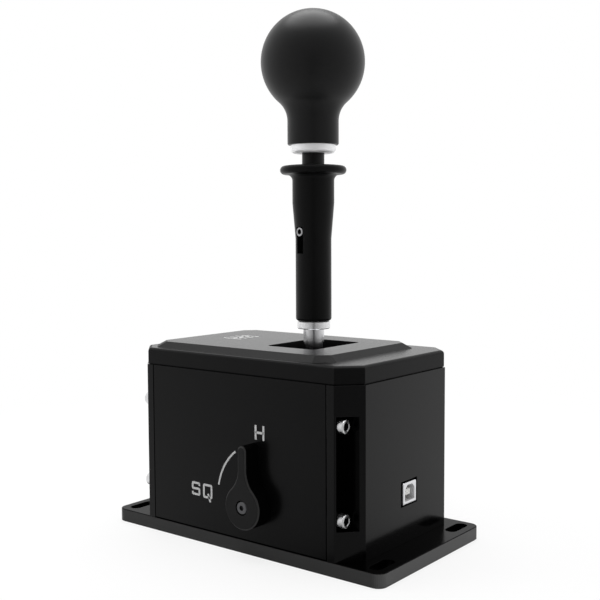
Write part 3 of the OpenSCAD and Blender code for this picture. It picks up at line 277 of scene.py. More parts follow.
def anodised(name, tone, roughness, specular, grain=1.0, edge=0.25, other=None, flats=None,
             paintedShade=None):
    # Black anodising over bead-blasted metal: fine grain in the normal, faint clouds in tone.
    # other is a share of the surface and the lighter tone painted there instead, as a painted
    # highlight or a lit side; the last argument is the share painted black as shade.
    # flats is the roughness of level faces, if they are smoother.
    a = anodising
    g = coating(name)
    clouds = g.noise(*a["clouds"])
    blast = g.noise(*a["blast"])
    colour = g.blend(clouds, scaled(tone, 1 - a["cloud"]), scaled(tone, 1 + a["cloud"]))
    if other:
        share, paintedTone = other
        colour = g.blend(share(g), colour, paintedTone)
    normal = g.bump(blast, a["bump"] * grain, a["depth"], g.roundEdge(edge * mm))
    rough = roughness + swing(g.noise(*a["spots"]), a["shine"])
    if flats is not None:
        level = g.math("GREATER_THAN", g.facing(2), a["level"])
        rough = rough + level * (flats - roughness)
    return g.finish({
        "Base Color": colour,
        "Roughness": rough,
        "Specular IOR Level": specular,
        "Normal": normal,
    }, paintedShade(g) if paintedShade else None)


turning = {"marks": (700, 3, 0.6), "dark": 0.9, "shine": 0.12, "bump": 0.08, "depth": 0.00003,
           "edge": 0.15, "belt": (1, 1, 30), "even": (1, 1, 1)}


def turned(name, tone, roughness, rings=1.0, stretch=turning["belt"], metallic=1.0):
    # Bare metal with the fine marks that a lathe or a belt leaves
    t = turning
    g = coating(name)
    marks = g.noise(*t["marks"], stretch)
    return g.finish({
        "Base Color": g.blend(marks, scaled(tone, t["dark"]), tone),
        "Metallic": metallic,
        "Roughness": roughness + swing(marks, t["shine"]),
        "Normal": g.bump(marks, t["bump"] * rings, t["depth"], g.roundEdge(t["edge"] * mm)),
    })


def plainMetal(name, tone, roughness, metallic=1.0):
    # Turned metal whose marks run no special way
    return turned(name, tone, roughness, stretch=turning["even"], metallic=metallic)


milling = {"blotches": (160, 4, 0.55), "grain": (3500, 2), "dark": 0.86, "shine": 0.15,
           "bump": 0.1, "depth": 0.00003, "edge": 0.2}


def milled(name, tone, roughness):
    # Machined alloy or zinced sheet: soft blotches and a fine all-round grain
    m = milling
    g = coating(name)
    blotch = g.noise(*m["blotches"])
    grain = g.noise(*m["grain"])
    return g.finish({
        "Base Color": g.blend(blotch, scaled(tone, m["dark"]), tone),
        "Metallic": 1.0,
        "Roughness": roughness + swing(blotch, m["shine"]),
        "Normal": g.bump(grain, m["bump"], m["depth"], g.roundEdge(m["edge"] * mm)),
    })


moulding = {"spark": (3, 0.6), "broad": (40, 2), "dark": 0.85, "shine": 0.12, "depth": 0.00006,
            "edge": 0.2}           # each finish gives the spark's scale


def moulded(name, tone, roughness, specular=0.5, grain=0.3, scale=2600):
    # Moulded plastic with a fine spark-eroded texture
    m = moulding
    g = coating(name)
    spark = g.noise(scale, *m["spark"])
    broad = g.noise(*m["broad"])
    return g.finish({
        "Base Color": g.blend(broad, scaled(tone, m["dark"]), tone),
        "Roughness": roughness + swing(spark, m["shine"]),
        "Specular IOR Level": specular,
        "Normal": g.bump(spark, grain, m["depth"], g.roundEdge(m["edge"] * mm)),
    })


# Each finish has its name, tone and roughness, and after them the specular level and grain of
# a black or moulded one, or the rings of a turned one
finishes = {
    # The side panels have painted shade along their seams
    "panelBlack": anodised("panelBlack", (0.0018, 0.0018, 0.0019), 0.24, 0.115,
                           paintedShade=paintedSeamShade),
    # The end walls have painted shade inside their screw pockets
    "wallBlack": anodised("wallBlack", (0.0012, 0.0012, 0.0013), 0.15, 0.15, 0.3,
                          paintedShade=paintedPocketShade),
    "coverBlack": anodised("coverBlack", (0.0022, 0.0022, 0.0023), 0.45, 0.11, edge=0.4,
                           flats=0.23),
    # The plate's sides have a painted lighter tone, as if lit
    "plateBlack": anodised("plateBlack", (0.0004, 0.0004, 0.0004), 0.22, 0.04, 0.5,
                           other=(paintedPlateSideLight, (0.095, 0.095, 0.095))),
    "sleeveBlack": anodised("sleeveBlack", (0.0040, 0.0040, 0.0041), 0.34, 0.09),
    # The mode lever has a painted highlight on its bevel and painted shade on its side walls
    "modeBlack": anodised("modeBlack", (0.008, 0.008, 0.0081), 0.3, 0.10, edge=0.3,
                          other=(paintedLeverRimHighlight, (0.04, 0.04, 0.04)), paintedShade=paintedLeverSideShade),
    "brightScrew": plainMetal("brightScrew", (0.78, 0.78, 0.79), 0.26),
    "guideSteel": plainMetal("guideSteel", (0.42, 0.42, 0.43), 0.3),
    # Dark metal in the screw sockets: painted shade of the hollow
    "socketPaintedShade": plainMetal("socketPaintedShade", (0.04, 0.04, 0.042), 0.5),
    "darkScrew": plainMetal("darkScrew", (0.05, 0.05, 0.052), 0.34),
    "polishedSteel": turned("polishedSteel", (0.66, 0.66, 0.67), 0.17),
    "bearingSteel": turned("bearingSteel", (0.76, 0.77, 0.78), 0.12),
    "machinedAlloy": milled("machinedAlloy", (0.62, 0.63, 0.65), 0.32),
    "sheetSteel": milled("sheetSteel", (0.55, 0.56, 0.58), 0.38),
    "bronze": milled("bronze", (0.62, 0.42, 0.20), 0.4),
    "springSteel": plainMetal("springSteel", (0.58, 0.59, 0.61), 0.28),
    "knobBlack": moulded("knobBlack", (0.0105, 0.0105, 0.0108), 0.34, 0.15, 0.12),
    "tubeBlack": moulded("tubeBlack", (0.003, 0.003, 0.003), 0.4, 0.2, 0.1),
    "neckChrome": turned("neckChrome", (0.95, 0.95, 0.96), 0.35, 0.4, metallic=0.3),
    "ringSteel": turned("ringSteel", (0.88, 0.88, 0.89), 0.2, 0.4, metallic=0.7),
    "modeScrew": plainMetal("modeScrew", (0.12, 0.12, 0.125), 0.4),
    "boardGreen": moulded("boardGreen", (0.012, 0.09, 0.045), 0.3, 0.5, 0.1, 900),
    "chipBlack": moulded("chipBlack", (0.02, 0.02, 0.02), 0.5),
    "portMetal": milled("portMetal", (0.80, 0.80, 0.82), 0.26),
    "portInside": plainMetal("portInside", (0.66, 0.66, 0.67), 0.45, 0.3),
    "portPlastic": moulded("portPlastic", (0.78, 0.78, 0.76), 0.45),
    "magnet": turned("magnet", (0.66, 0.66, 0.70), 0.16),
    "markLight": moulded("markLight", (0.80, 0.80, 0.80), 0.6, 0.3, 0.15),
    "markGrey": moulded("markGrey", (0.50, 0.50, 0.50), 0.6, 0.3, 0.15),
    "contactGold": plainMetal("contactGold", (0.80, 0.58, 0.24), 0.25),
}

# Which solids have which finish; those that are made again below aren't named
wear = {
    "panelBlack": ["left_panel", "right_panel"],
    "wallBlack": ["front_wall", "rear_wall"],
    "coverBlack": ["top_cover"],
    "plateBlack": ["base_plate"],
    "sleeveBlack": ["lift_sleeve"],
    "modeBlack": ["mode_lever"],
    "brightScrew": ["board_screws"],
    "darkScrew": ["base_screws", "cover_screws", "sector_screws", "detent_plunger", "gate_screws",
                  "lock_cross_pin", "fork_guides"],
    "polishedSteel": ["hinge_pins", "gate_finger", "lever_shaft", "lock_rod", "mode_shaft"],
    "bearingSteel": ["bearing_outer_rings", "bearing_balls", "bearing_inner_rings", "detent_ball"],
    "machinedAlloy": ["gimbal_frame", "detent_block", "hub", "spring_bar", "knob_insert",
                      "mode_crank"],
    "sheetSteel": ["detent_sector", "gate_plate", "reverse_fence", "mode_fork"],
    "bronze": ["hinge_bushes", "gate_spacers", "mode_bush", "board_standoffs"],
    "springSteel": ["detent_spring"],
    "tubeBlack": ["guide_tube"],
    "neckChrome": ["neck_ring"],
    "ringSteel": ["foot_ring"],
    "modeScrew": ["mode_screw"],
    "boardGreen": ["main_board", "fore_sensor_board", "side_sensor_board"],
    "chipBlack": ["mode_switch", "board_chips", "side_sensor_chip"],
    "magnet": ["fore_magnet", "side_magnet"],
}
for finish, names in wear.items():
    for name in names:
        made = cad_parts[name]
        for slot in made.material_slots:
            slot.material = finishes[finish]
print("solids dressed")


# Surfaces worked out as arrays

creaseAngle = 35           # edges sharper than this, in degrees, stay sharp
plain = 10 ** 6            # no row of the part takes the second coat


def meshPiece(name, parts, coats, body, replaced=()):
    # parts: (rings, ends, rows) with rings as an array (rows, around, 3) in mm that closes round.
    # ends is "poles" or "loop"; faces from the given row on take the second coat.
    # A part whose volume, the sum of a.(b x c) / 6 over its triangles, is negative is turned.
    places, quads, fans, quadCoats, fanCoats = [], [], [], [], []
    start = 0
    for grid, ends, fromRow in parts:
        rows, around = grid.shape[:2]
        index = start + np.arange(rows * around).reshape(rows, around)
        ahead = np.roll(index, -1, axis=1)
        after, afterAhead = np.roll(index, -1, axis=0), np.roll(ahead, -1, axis=0)
        last = rows if ends == "loop" else rows - 1
        four = np.stack([index, ahead, afterAhead, after], axis=-1)[:last].reshape(-1, 4)
        spots = [grid.reshape(-1, 3)]
        three = np.zeros((0, 3), int)
        if ends == "poles":
            spots.append(np.stack([grid[0].mean(axis=0), grid[-1].mean(axis=0)]))
            first = start + rows * around
            three = np.concatenate([
                np.stack([ahead[0], index[0], np.full(around, first)], axis=-1),
                np.stack([index[-1], ahead[-1], np.full(around, first + 1)], axis=-1)])
        spots = np.concatenate(spots)
        flat = np.concatenate([four[:, [0, 1, 2]], four[:, [0, 2, 3]], three]) - start
        a, b, c = spots[flat[:, 0]], spots[flat[:, 1]], spots[flat[:, 2]]
        if (a * np.cross(b, c)).sum() < 0:
            four, three = four[:, ::-1], three[:, ::-1]
        places.append(spots)
        quads.append(four)
        fans.append(three)
        row = np.repeat(np.arange(last), around)
        quadCoats.append((row >= fromRow).astype(int))
        fanCoats.append((np.arange(len(three)) >= around).astype(int) * int(fromRow < rows))
        start += len(spots)
    quads, fans = np.concatenate(quads), np.concatenate(fans)
    mesh = bpy.data.meshes.new(name)
    mesh.vertices.add(start)
    mesh.vertices.foreach_set("co", (np.concatenate(places) * mm).ravel())
    mesh.loops.add(quads.size + fans.size)
    mesh.loops.foreach_set("vertex_index", np.concatenate([quads.ravel(), fans.ravel()]))
    mesh.polygons.add(len(quads) + len(fans))
    starts = np.concatenate([np.arange(len(quads)) * 4, quads.size + np.arange(len(fans)) * 3])
    mesh.polygons.foreach_set("loop_start", starts)
    for coat in coats:
        mesh.materials.append(finishes[coat])
    mesh.polygons.foreach_set("material_index", np.concatenate(quadCoats + fanCoats))
    mesh.update(calc_edges=True)
    mesh.validate()
    mesh.shade_smooth()
    mesh.set_sharp_from_angle(angle=math.radians(creaseAngle))
    made = linked(name, mesh)
    if replaced:
        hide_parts(*replaced)
    if body:
        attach(made, body)
    return made


def turnedForm(profile, around, ripple=None):
    # Point (r, z) of the profile at angle a goes to (r cos a, r sin a, z); ripple scales r
    profile = np.array(profile, float)
    angle = np.arange(around) * 2 * math.pi / around
    radius = np.repeat(profile[:, :1], around, axis=1)
    if ripple is not None:
        radius = radius * ripple(profile[:, 1:], angle[None, :])
    height = np.repeat(profile[:, 1:], around, axis=1)
    return np.stack([radius * np.cos(angle), radius * np.sin(angle), height], axis=-1)


def hexagonForm(half, rims, around):
    # Rings (scale, z) of a hexagon: radius half / cos of the angle from the nearest flat
    angle = np.arange(around) * 2 * math.pi / around
    flat = half / np.cos((angle + math.pi / 6) % (math.pi / 3) - math.pi / 6)
    return np.stack([np.stack([flat * k * np.cos(angle), flat * k * np.sin(angle),
                               np.full(around, z)], axis=1) for k, z in rims])


def curve(x, y, r, a, b, n):
    # n + 1 points of an arc round (x, y), from angle a to b in degrees
    angle = np.radians(np.linspace(a, b, n + 1))
    return np.stack([x + r * np.cos(angle), y + r * np.sin(angle)], axis=1)


def bent(corners, r, closed=False, n=3):
    # Each corner c gives way to the bend (1 - s)^2 (c + r u) + 2 s (1 - s) c + s^2 (c + r v),
    # where u and v point back and on along the line
    corners = np.array(corners, float)
    before, after = np.roll(corners, 1, axis=0), np.roll(corners, -1, axis=0)
    back = (before - corners) / np.linalg.norm(before - corners, axis=1)[:, None]
    on = (after - corners) / np.linalg.norm(after - corners, axis=1)[:, None]
    s = np.linspace(0, 1, n + 1)[None, :, None]
    c = corners[:, None, :]
    bend = ((1 - s) ** 2 * (c + r * back[:, None, :]) + 2 * s * (1 - s) * c
            + s ** 2 * (c + r * on[:, None, :]))
    if closed:
        return bend.reshape(-1, 2)
    return np.concatenate([corners[:1], bend[1:-1].reshape(-1, 2), corners[-1:]])


def stood(grid, place, out, up):
    # The form's Z goes to out and its Y to up, and its origin to place
    out, up = np.array(out, float), np.array(up, float)
    return np.array(place) + grid @ np.stack([np.cross(up, out), up, out])


# Printed marks

bar = {"sunk": -0.02, "top": 0.04}


def stroke(line, width, closed=False):
    # A flat bar along a line of (u, v) points: each point moves half the width to either side
    # along its mitre, m = (n0 + n1) / (1 + n0.n1), where n0 and n1 are the normals beside it
    line = np.array(line, float)
    ahead = np.roll(line, -1, axis=0) - line
    if not closed:
        ahead[-1] = ahead[-2]
    ahead /= np.linalg.norm(ahead, axis=1)[:, None]
    behind = np.roll(ahead, 1, axis=0)
    if not closed:
        behind[0] = ahead[0]
    n0 = np.stack([-behind[:, 1], behind[:, 0]], axis=1)
    n1 = np.stack([-ahead[:, 1], ahead[:, 0]], axis=1)
    mitre = (n0 + n1) / (1 + (n0 * n1).sum(axis=1))[:, None] * width / 2
    sides = [(line - mitre, bar["sunk"]), (line + mitre, bar["sunk"]), (line + mitre, bar["top"]),
             (line - mitre, bar["top"])]
    rows = np.stack([np.column_stack([p, np.full(len(line), w)]) for p, w in sides], axis=1)
    return rows, "loop" if closed else "poles"


panelMark = {
    "face": -47.0,
    "letterStroke": 1.2,
    "arcStroke": 1.05,
    "arcCentre": (18.9, 27.1),
    "arcRadius": 29.9,
    "arcFrom": 126.5,
    "arcTo": 169.5,
    "arcSteps": 40,
    "letterH": (14.5, 19.5, 58.9, 66.2),      # middles of the outer strokes, foot and top
    "letterS": (-29.1, -24.3, 24.9, 30.8),
    "letterQ": (-21.1, -15.7, 24.5, 30.8),
    "hookS": 1.3,
    "bendS": 0.5,
    "bendQ": 0.6,
    "tailQ": ((-2.4, 1.9), (-0.9, -2.3)),     # from the letter's lower right corner
}


def panelMarks():
    # The letters of the two modes and the arc between them; u runs to the front, v upwards
    m = panelMark
    w = m["letterStroke"]
    left, right, low, top = m["letterH"]
    middle = (low + top) / 2
    lines = [([(left, low), (left, top)], False), ([(right, low), (right, top)], False),
             ([(left, middle), (right, middle)], False)]
    left, right, low, top = m["letterS"]
    middle = (low + top) / 2
    corners = [(right, top - m["hookS"]), (right, top), (left, top), (left, middle),
               (right, middle), (right, low), (left, low), (left, low + m["hookS"])]
    lines.append((bent(corners, m["bendS"]), False))
    left, right, low, top = m["letterQ"]
    corners = [(left, top), (right, top), (right, low), (left, low)]
    lines.append((bent(corners, m["bendQ"], True), True))
    lines.append(([(right + u, low + v) for u, v in m["tailQ"]], False))
    parts = [stroke(line, w, closed) for line, closed in lines]
    arc = curve(*m["arcCentre"], m["arcRadius"], m["arcFrom"], m["arcTo"], m["arcSteps"])
    parts.append(stroke(arc, m["arcStroke"]))
    placed = [(stood(rows, (m["face"], 0, 0), (-1, 0, 0), (0, 0, 1)), ends, plain)
              for rows, ends in parts]
    meshPiece("panelMarks", placed, ["markGrey"], "housing")


coverMark = {
    "centre": (2.0, 38.0, 101.7),
    "columns": (-7.5, -2.5, 2.5, 7.5),
    "reach": 6.5,
    "stroke": 1.2,
}


def coverMarks():
    # A plain diagram of the gates: one cross line and a bar for each column
    m = coverMark
    columns, reach = m["columns"], m["reach"]
    lines = [[(columns[0], 0), (columns[-1], 0)]] + [[(u, -reach), (u, reach)] for u in columns]
    bars = [stroke(line, m["stroke"]) for line in lines]
    placed = [(stood(rows, m["centre"], (0, 0, 1), (0, 1, 0)), ends, plain) for rows, ends in bars]
    meshPiece("coverMarks", placed, ["markLight"], "housing")


panelMarks()
coverMarks()


# Cap screws in the corner pockets, and the lever's guide screw

capScrew = {
    "head": 3.5,
    "headHeight": 4.0,
    "shank": 2.0,
    "length": 15.0,
    "socket": 1.55,        # half the hexagon's width across flats
    "tip": 0.4,
    "footEdge": 0.25,
    "topEdge": 0.5,
    "grip": (0.6, 1.4, 2.2, 3.25),
    "lip": ((2.3, 0), (2.15, 0.03)),               # radius, and depth under the top
    "rims": ((1.12, 0.16), (1.0, 0.34), (1.0, 2.3), (0.55, 2.55)),   # scale and depth
    "knurls": 40,
    "knurlSides": 6,       # points round each knurl
    "knurlDepth": 0.09,
    "knurlFrom": 0.2,
    "knurlEnd": 0.6,
    "knurlFade": 0.3,
    "spots": [(42.4, 62.0, 26.25), (42.4, 62.0, 70.75)],
}


def capScrews():
    # A turned form whose head is rippled into knurls, and whose last rings are its socket, coated
    # dark as painted shade
    c = capScrew
    around = c["knurls"] * c["knurlSides"]
    r, h = c["head"], c["headHeight"]
    shank, tip, low, top = c["shank"], c["tip"], c["footEdge"], c["topEdge"]
    outer = np.concatenate([
        [(shank - tip, -c["length"]), (shank, tip - c["length"]), (shank, 0.0), (r - low, 0.0)],
        curve(r - low, low, low, -90, 0, n=3),
        [(r, z) for z in c["grip"]],
        curve(r - top, h - top, top, 0, 90, n=5),
        [(reach, h - depth) for reach, depth in c["lip"]],
    ])

    def knurl(z, a):
        # The radius dips by the knurls' depth, less towards both ends of the band
        rise = np.clip((z - c["knurlFrom"]) / c["knurlFade"], 0, 1)
        fall = np.clip((h - c["knurlEnd"] - z) / c["knurlFade"], 0, 1)
        return 1 - c["knurlDepth"] / r * rise * fall * (0.5 - 0.5 * np.cos(c["knurls"] * a))

    rims = [(k, h - depth) for k, depth in c["rims"]]
    form = np.concatenate([turnedForm(outer, around, knurl),
                           hexagonForm(c["socket"], rims, around)])
    parts = [(stood(form, (side * x, end * y, z), (0, end, 0), (0, 0, 1)), "poles", len(outer))
             for x, y, z in c["spots"] for side in (-1, 1) for end in (-1, 1)]
    meshPiece("cornerCapScrews", parts, ["brightScrew", "socketPaintedShade"], "housing",
              ["corner_screws"])


guideScrewForm = {
    "axis": (0.0, -14.7, 160.5),
    "turn": 168.0,
    "seat": 6.65,
    "head": 2.4,
    "height": 3.0,
    "shank": 1.5,
    "length": 3.2,
    "tip": 0.2,
    "footEdge": 0.1,
    "grip": 1.6,
    "topEdge": 0.45,
    "lip": 1.62,
    "socket": 1.2,
    "rims": ((1.12, 0.1), (1.0, 0.3), (1.0, 2.0), (0.5, 2.2)),       # scale and depth
    "around": 72,
}


def guideScrew():
    # A turned form whose last rings are its socket, coated dark as painted shade, on its side in
    # the sleeve's slot
    g = guideScrewForm
    r, h = g["head"], g["height"]
    shank, tip, low, top = g["shank"], g["tip"], g["footEdge"], g["topEdge"]
    outer = np.concatenate([
        [(shank - tip, -g["length"]), (shank, tip - g["length"]), (shank, 0)],
        [(r - low, 0), (r, low), (r, g["grip"])],
        curve(r - top, h - top, top, 0, 90, n=6),
        [(g["lip"], h)],
    ])
    rims = [(k, h - depth) for k, depth in g["rims"]]
    form = np.concatenate([turnedForm(outer, g["around"]),
                           hexagonForm(g["socket"], rims, g["around"])])
    turn = math.radians(g["turn"])
    out = np.array([math.cos(turn), math.sin(turn), 0])
    parts = [(stood(form, np.array(g["axis"]) + out * g["seat"], out, (0, 0, 1)), "poles",
              len(outer))]
    meshPiece("guideCapScrew", parts, ["guideSteel", "socketPaintedShade"], "lever",
              ["guide_screw"])


capScrews()
guideScrew()


# The data port

portFloor = -9.0           # where the opening ends, from the port's face

portForm = {
    "centre": (1.5, -73.0, 31.8),
    "shell": (12.0, 10.9),
    "open": (8.45, 7.8),
    # Loops of the shell and of its opening: growth, corner cut, bend and height from the face
    "outside": ((-0.3, 0.5, 0.2, -17.0), (0, 0.6, 0.25, -16.7), (0, 0.6, 0.25, -0.4),
                (-0.1, 0.6, 0.25, -0.12), (-0.35, 0.6, 0.25, 0.0)),
    "inside": ((0.3, 2.2, 0.3, 0.0), (0.08, 2.2, 0.3, -0.1), (0, 2.2, 0.25, -0.35),
               (0, 2.2, 0.25, portFloor)),
    "firstInside": 7,          # faces from this row on take the second coat
    "tongue": (5.6, 3.2, 7.6),
    "tongueCorner": (0.3, 0.1),
    "tongueTip": ((0.0, 0.5), (0.15, 0.15), (0.4, 0.0)),             # inset, from the tip
    "contact": (1.0, 6.4, 0.12),
    "contactSpots": (-1.25, 1.25),
    "contactStart": 0.2,
    "contactSunk": 0.02,
    "contactTip": ((0.6, 0.0), (0.2, -0.04), (0.0, -0.1)),           # from the tip, drop
}


def portLoop(w, h, cut, r, z):
    # Six-cornered loop of half width w and half height h, its two upper corners cut, at z from
    # the face
    line = bent([(-w, -h), (w, -h), (w, h - cut), (w - cut, h), (cut - w, h), (-w, h - cut)],
                r, closed=True, n=4)
    return np.column_stack([line, np.full(len(line), z)])


def dataPort():
    # Lofts through loops: out along the shell, over its rim and into the socket
    f = portForm
    shell = np.stack([portLoop(w / 2 + grow, h / 2 + grow, *rest)
                      for (w, h), loops in ((f["shell"], f["outside"]), (f["open"], f["inside"]))
                      for grow, *rest in loops])
    face = (f["centre"], (0, -1, 0), (0, 0, 1))
    meshPiece("portShell", [(stood(shell, *face), "poles", f["firstInside"])],
              ["portMetal", "portInside"], "housing", ["port_shell"])
    a, b, length = f["tongue"]
    tip = portFloor + length
    rims = [(0.0, portFloor)] + [(s, tip - back) for s, back in f["tongueTip"]]
    tongue = np.stack([portLoop(a / 2 - s, b / 2 - s, *f["tongueCorner"], z) for s, z in rims])
    meshPiece("portTongue", [(stood(tongue, *face), "poles", plain)], ["portPlastic"], "housing",
              ["port_tongue"])
    wide, long, thick = f["contact"]
    tip = portFloor + long
    line = [(portFloor + f["contactStart"], 0.0)]
    line += [(tip - back, lift) for back, lift in f["contactTip"]]
    seat = b / 2 - f["contactSunk"]
    parts = []
    for u in f["contactSpots"]:
        for side in (-1, 1):
            rows = np.array([[(u + e * wide / 2, side * (seat + lift + up), z)
                              for e, up in ((-1, 0), (1, 0), (1, thick), (-1, thick))]
                             for z, lift in line])
            parts.append((stood(rows, *face), "poles", plain))
    meshPiece("portContacts", parts, ["contactGold"], "housing")


dataPort()


# The knob

knobForm = {
    "y": -14.7,
    "foot": 205.3,
    "middle": 42.3,        # the ball's middle over the foot
    "ball": 26.85,
    "pole": 89,            # where the ball's last ring is, in degrees
    "neck": 13.3,
    "fillet": 13.0,
    "footEdge": 0.8,
    "bore": 8.03,
    "boreDepth": 27.0,
    "boreEdge": 0.4,
    "around": 160,
}


def knobPiece():
    # Ball of radius R joined to its neck of radius n by a hollow of radius f: the hollow's
    # centre is at (n + f, m - sqrt((R + f)^2 - (n + f)^2)) and it touches the ball on their line
    k = knobForm
    out = k["neck"] + k["fillet"]
    reach = k["ball"] + k["fillet"]
    drop = k["middle"] - math.sqrt(reach ** 2 - out ** 2)
    lean = math.degrees(math.acos(out / reach))
    bore, mouth, edge = k["bore"], k["boreEdge"], k["footEdge"]
    profile = np.concatenate([
        [(bore, k["boreDepth"]), (bore, mouth), (bore + mouth, 0)],
        curve(k["neck"] - edge, edge, edge, -90, 0, n=5),
        curve(out, drop, k["fillet"], 180, 180 - lean, n=24),
        curve(0, k["middle"], k["ball"], -lean, k["pole"], n=90),
    ])
    form = turnedForm(profile, k["around"]) + (0, k["y"], k["foot"])
    meshPiece("ballKnob", [(form, "poles", plain)], ["knobBlack"], "lever", ["knob"])


knobPiece()


# Springs

lockCoil = {"r": 1.8, "wire": 0.7, "foot": 190.03, "top": 203.07, "turns": 6, "x": 0, "y": -14.7}
centringCoil = {"r": 2.7, "wire": 1.2, "foot": 49.03, "top": 61.97, "turns": 5, "x": 18.9,
                "y": -14.7}
turnRings = 28             # rings in one turn of a coil
wireSides = 10             # points round the wire


def coilForm(r, wire, foot, top, turns, x, y):
    # A ring of radius wire / 2 carried up a helix: at turn angle a and ring angle b the reach is
    # r + wire / 2 cos b, and the height is foot + wire / 2 (1 + sin b) + rise a
    a = np.linspace(0, 2 * math.pi * turns, turnRings * turns + 1)[:, None]
    b = np.arange(wireSides)[None, :] * 2 * math.pi / wireSides
    reach = r + wire / 2 * np.cos(b) + 0 * a
    rise = (top - foot - wire) / (2 * math.pi * turns)
    return np.stack([x + reach * np.cos(a), y + reach * np.sin(a),
                     foot + wire / 2 * (1 + np.sin(b)) + rise * a], axis=-1)


def springs():
    # The lock spring goes with the lever. The centring springs stay where they are made.
    coil = meshPiece("lockCoil", [(coilForm(**lockCoil), "poles", plain)], ["springSteel"], "lever",
                     ["lock_spring"])
    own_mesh(coil)
    parts = [(coilForm(**{**centringCoil, "x": side * centringCoil["x"]}), "poles", plain)
             for side in (-1, 1)]
    pair = meshPiece("centringCoils", parts, ["springSteel"], None,
                     ["centring_springs"])
    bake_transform(pair)


springs()
print("marks, screws, port, knob and springs made")


# Stage, light and camera

room = {
    "floorHalf": 6.0,
    "floorTone": 0.86,
    "nearGlow": 0.8,           # share of plain white under the object, where its shadow shows
    "glow": (0.16, 0.45),      # the floor turns plain white between these distances
    "worldLight": 0.5,
    "frontSide": (-0.78, -0.62),
    "frontFall": [(0.4, 0.0), (0.625, 0.18), (0.925, 0.5), (0.991, 0.65), (0.9985, 1.0)],
    # Painted shadow: mirrors see the floor black in an ellipse near the plate, as the object's
    # shadow
    "shadeCentre": (0.075, -0.04, 0),
    "shadeReach": (0.11, 0.045, 1),
    "shadeRim": (0.85, 1.1),   # mirrors see the floor black inside this share of the reach
    "white": (1, 1, 1),
}


def mirrored(g, heading):
    # What a mirror gets from a heading: white, and less towards the studio's open front.
    # The fall goes by (heading . front + 1) / 2.
    along = g.vector("DOT_PRODUCT", {0: heading, 1: (*room["frontSide"], 0)}, "Value")
    return 1 - g.ramp(along * 0.5 + 0.5, room["frontFall"])


def lookedAt(g):
    # 1 for a ray from the camera, and 1 for one from the camera, a mirror or glass
    rays = ("Is Camera Ray", "Is Glossy Ray", "Is Transmission Ray")
    camera, glossy, through = [g.node("ShaderNodeLightPath", output=ray) for ray in rays]
    return camera, g.math("MINIMUM", camera + glossy + through, 1.0)


def stageFloor():
    # Flat square at z = 0; eyes and mirrors see most of it as plain white, over its own shadow, and
    # mirrors see a painted shadow of the object near the plate
    half = room["floorHalf"]
    corners = [(-half, -half, 0), (half, -half, 0), (half, half, 0), (-half, half, 0)]
    mesh = bpy.data.meshes.new("floor")
    mesh.from_pydata(corners, [], [(0, 1, 2, 3)])
    floor = linked("floor", mesh)
    g = coating("floorWhite")
    matte = g.node("ShaderNodeBsdfDiffuse", None, {"Color": rgba((room["floorTone"],) * 3)})
    camera, looked = lookedAt(g)
    spot = g.place()
    reach = g.vector("LENGTH", {0: spot}, "Value")
    heading = g.vector("NORMALIZE", {0: spot})
    off = g.vector("SUBTRACT", {0: spot, 1: room["shadeCentre"]})
    off = g.vector("DIVIDE", {0: off, 1: room["shadeReach"]})
    off = g.vector("LENGTH", {0: off}, "Value")
    # The glow mirrors see, black in the painted shadow and less towards the open front
    lit = g.between(off, *room["shadeRim"]) * mirrored(g, heading)
    strength = 1 - (1 - lit) * (1 - camera)
    glow = g.node("ShaderNodeEmission", None, {"Color": rgba(room["white"]), "Strength": strength})
    near = room["nearGlow"]
    share = near + g.between(reach, *room["glow"]) * (1 - near)
    mixed = g.node("ShaderNodeMixShader", None, {0: looked * share, 1: matte, 2: glow})
    g.node("ShaderNodeOutputMaterial", None, {"Surface": mixed})
    mesh.materials.append(g.material)


def whiteWorld():
    # Soft even light, shown as plain white to eyes and mirrors
    world = bpy.data.worlds.new("studio")
    bpy.context.scene.world = world
    world.use_nodes = True
    g = Graph(world.node_tree)
    camera, looked = lookedAt(g)
    heading = g.node("ShaderNodeTexCoord", output="Generated")
    strength = 1 - (1 - mirrored(g, heading)) * (1 - camera)
    white = rgba(room["white"])
    soft = g.node("ShaderNodeBackground", None, {"Color": white, "Strength": room["worldLight"]})
    glow = g.node("ShaderNodeBackground", None, {"Color": white, "Strength": strength})
    mixed = g.node("ShaderNodeMixShader", None, {0: looked, 1: soft, 2: glow})
    g.node("ShaderNodeOutputWorld", None, {"Surface": mixed})


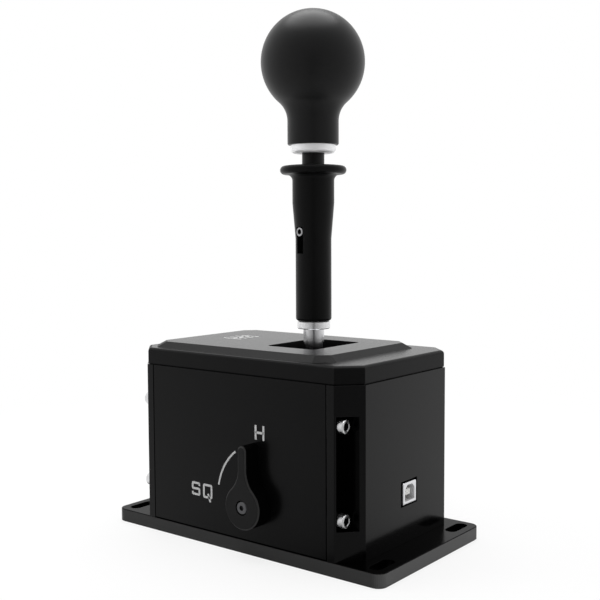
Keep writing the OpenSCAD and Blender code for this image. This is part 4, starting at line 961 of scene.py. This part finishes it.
lamps = {
    "keyLeft": {"place": (-0.7, 1.1, 0.55), "aim": (0, 0, 0.1), "size": 0.8, "power": 6,
                "inMirrors": False},
    "fillRight": {"place": (1.1, -0.75, 0.35), "aim": (0, 0, 0.05), "size": 0.7, "power": 4,
                  "inMirrors": False},
    "top": {"place": (0.15, 0.15, 1.25), "aim": (0, 0, 0.1), "size": 1.2, "power": 13,
            "inMirrors": True},
}


def aimed(place, look, roll):
    # Frame with -Z along look, X level and then turned by roll
    look = np.array(look, float)
    right = np.cross(look, (0, 0, 1))
    right = right / np.linalg.norm(right)
    up = np.cross(right, look)
    c, s = math.cos(roll), math.sin(roll)
    right, up = c * right + s * up, c * up - s * right
    turn = np.stack([right, up, -look], axis=1)
    rows = [[*turn[i], place[i]] for i in range(3)] + [[0, 0, 0, 1]]
    return Matrix(rows)


def softLamp(name, place, aim, size, power, inMirrors):
    # A round lamp at place that shines towards aim
    lamp = bpy.data.lights.new(name, "AREA")
    lamp.shape = "DISK"
    lamp.size = size
    lamp.energy = power
    made = linked(name, lamp)
    back = np.array(place, float) - np.array(aim, float)
    made.matrix_world = aimed(place, -back / np.linalg.norm(back), 0.0)
    made.visible_glossy = inMirrors


view = {
    "place": (-0.396458, -0.317625, 0.159942),
    "yaw": 0.666835,
    "pitch": 0.0701363,
    "roll": -0.0045889,
    "lens": 57.24,
    "sensor": 36.0,
    "clip": (0.01, 20),
}


def setCamera():
    # The view of the photograph: yaw from +X, pitch down, a slight roll
    camera = bpy.data.cameras.new("camera")
    camera.lens = view["lens"]
    camera.sensor_width = view["sensor"]
    camera.clip_start, camera.clip_end = view["clip"]
    made = linked("camera", camera)
    flat = math.cos(view["pitch"])
    look = (flat * math.cos(view["yaw"]), flat * math.sin(view["yaw"]), -math.sin(view["pitch"]))
    made.matrix_world = aimed(view["place"], look, view["roll"])
    bpy.context.scene.camera = made


setCamera()
stageFloor()
whiteWorld()
for name, lamp in lamps.items():
    softLamp(name, **lamp)
bpy.context.scene.view_settings.view_transform = "Standard"
print("stage, lamps and camera set")
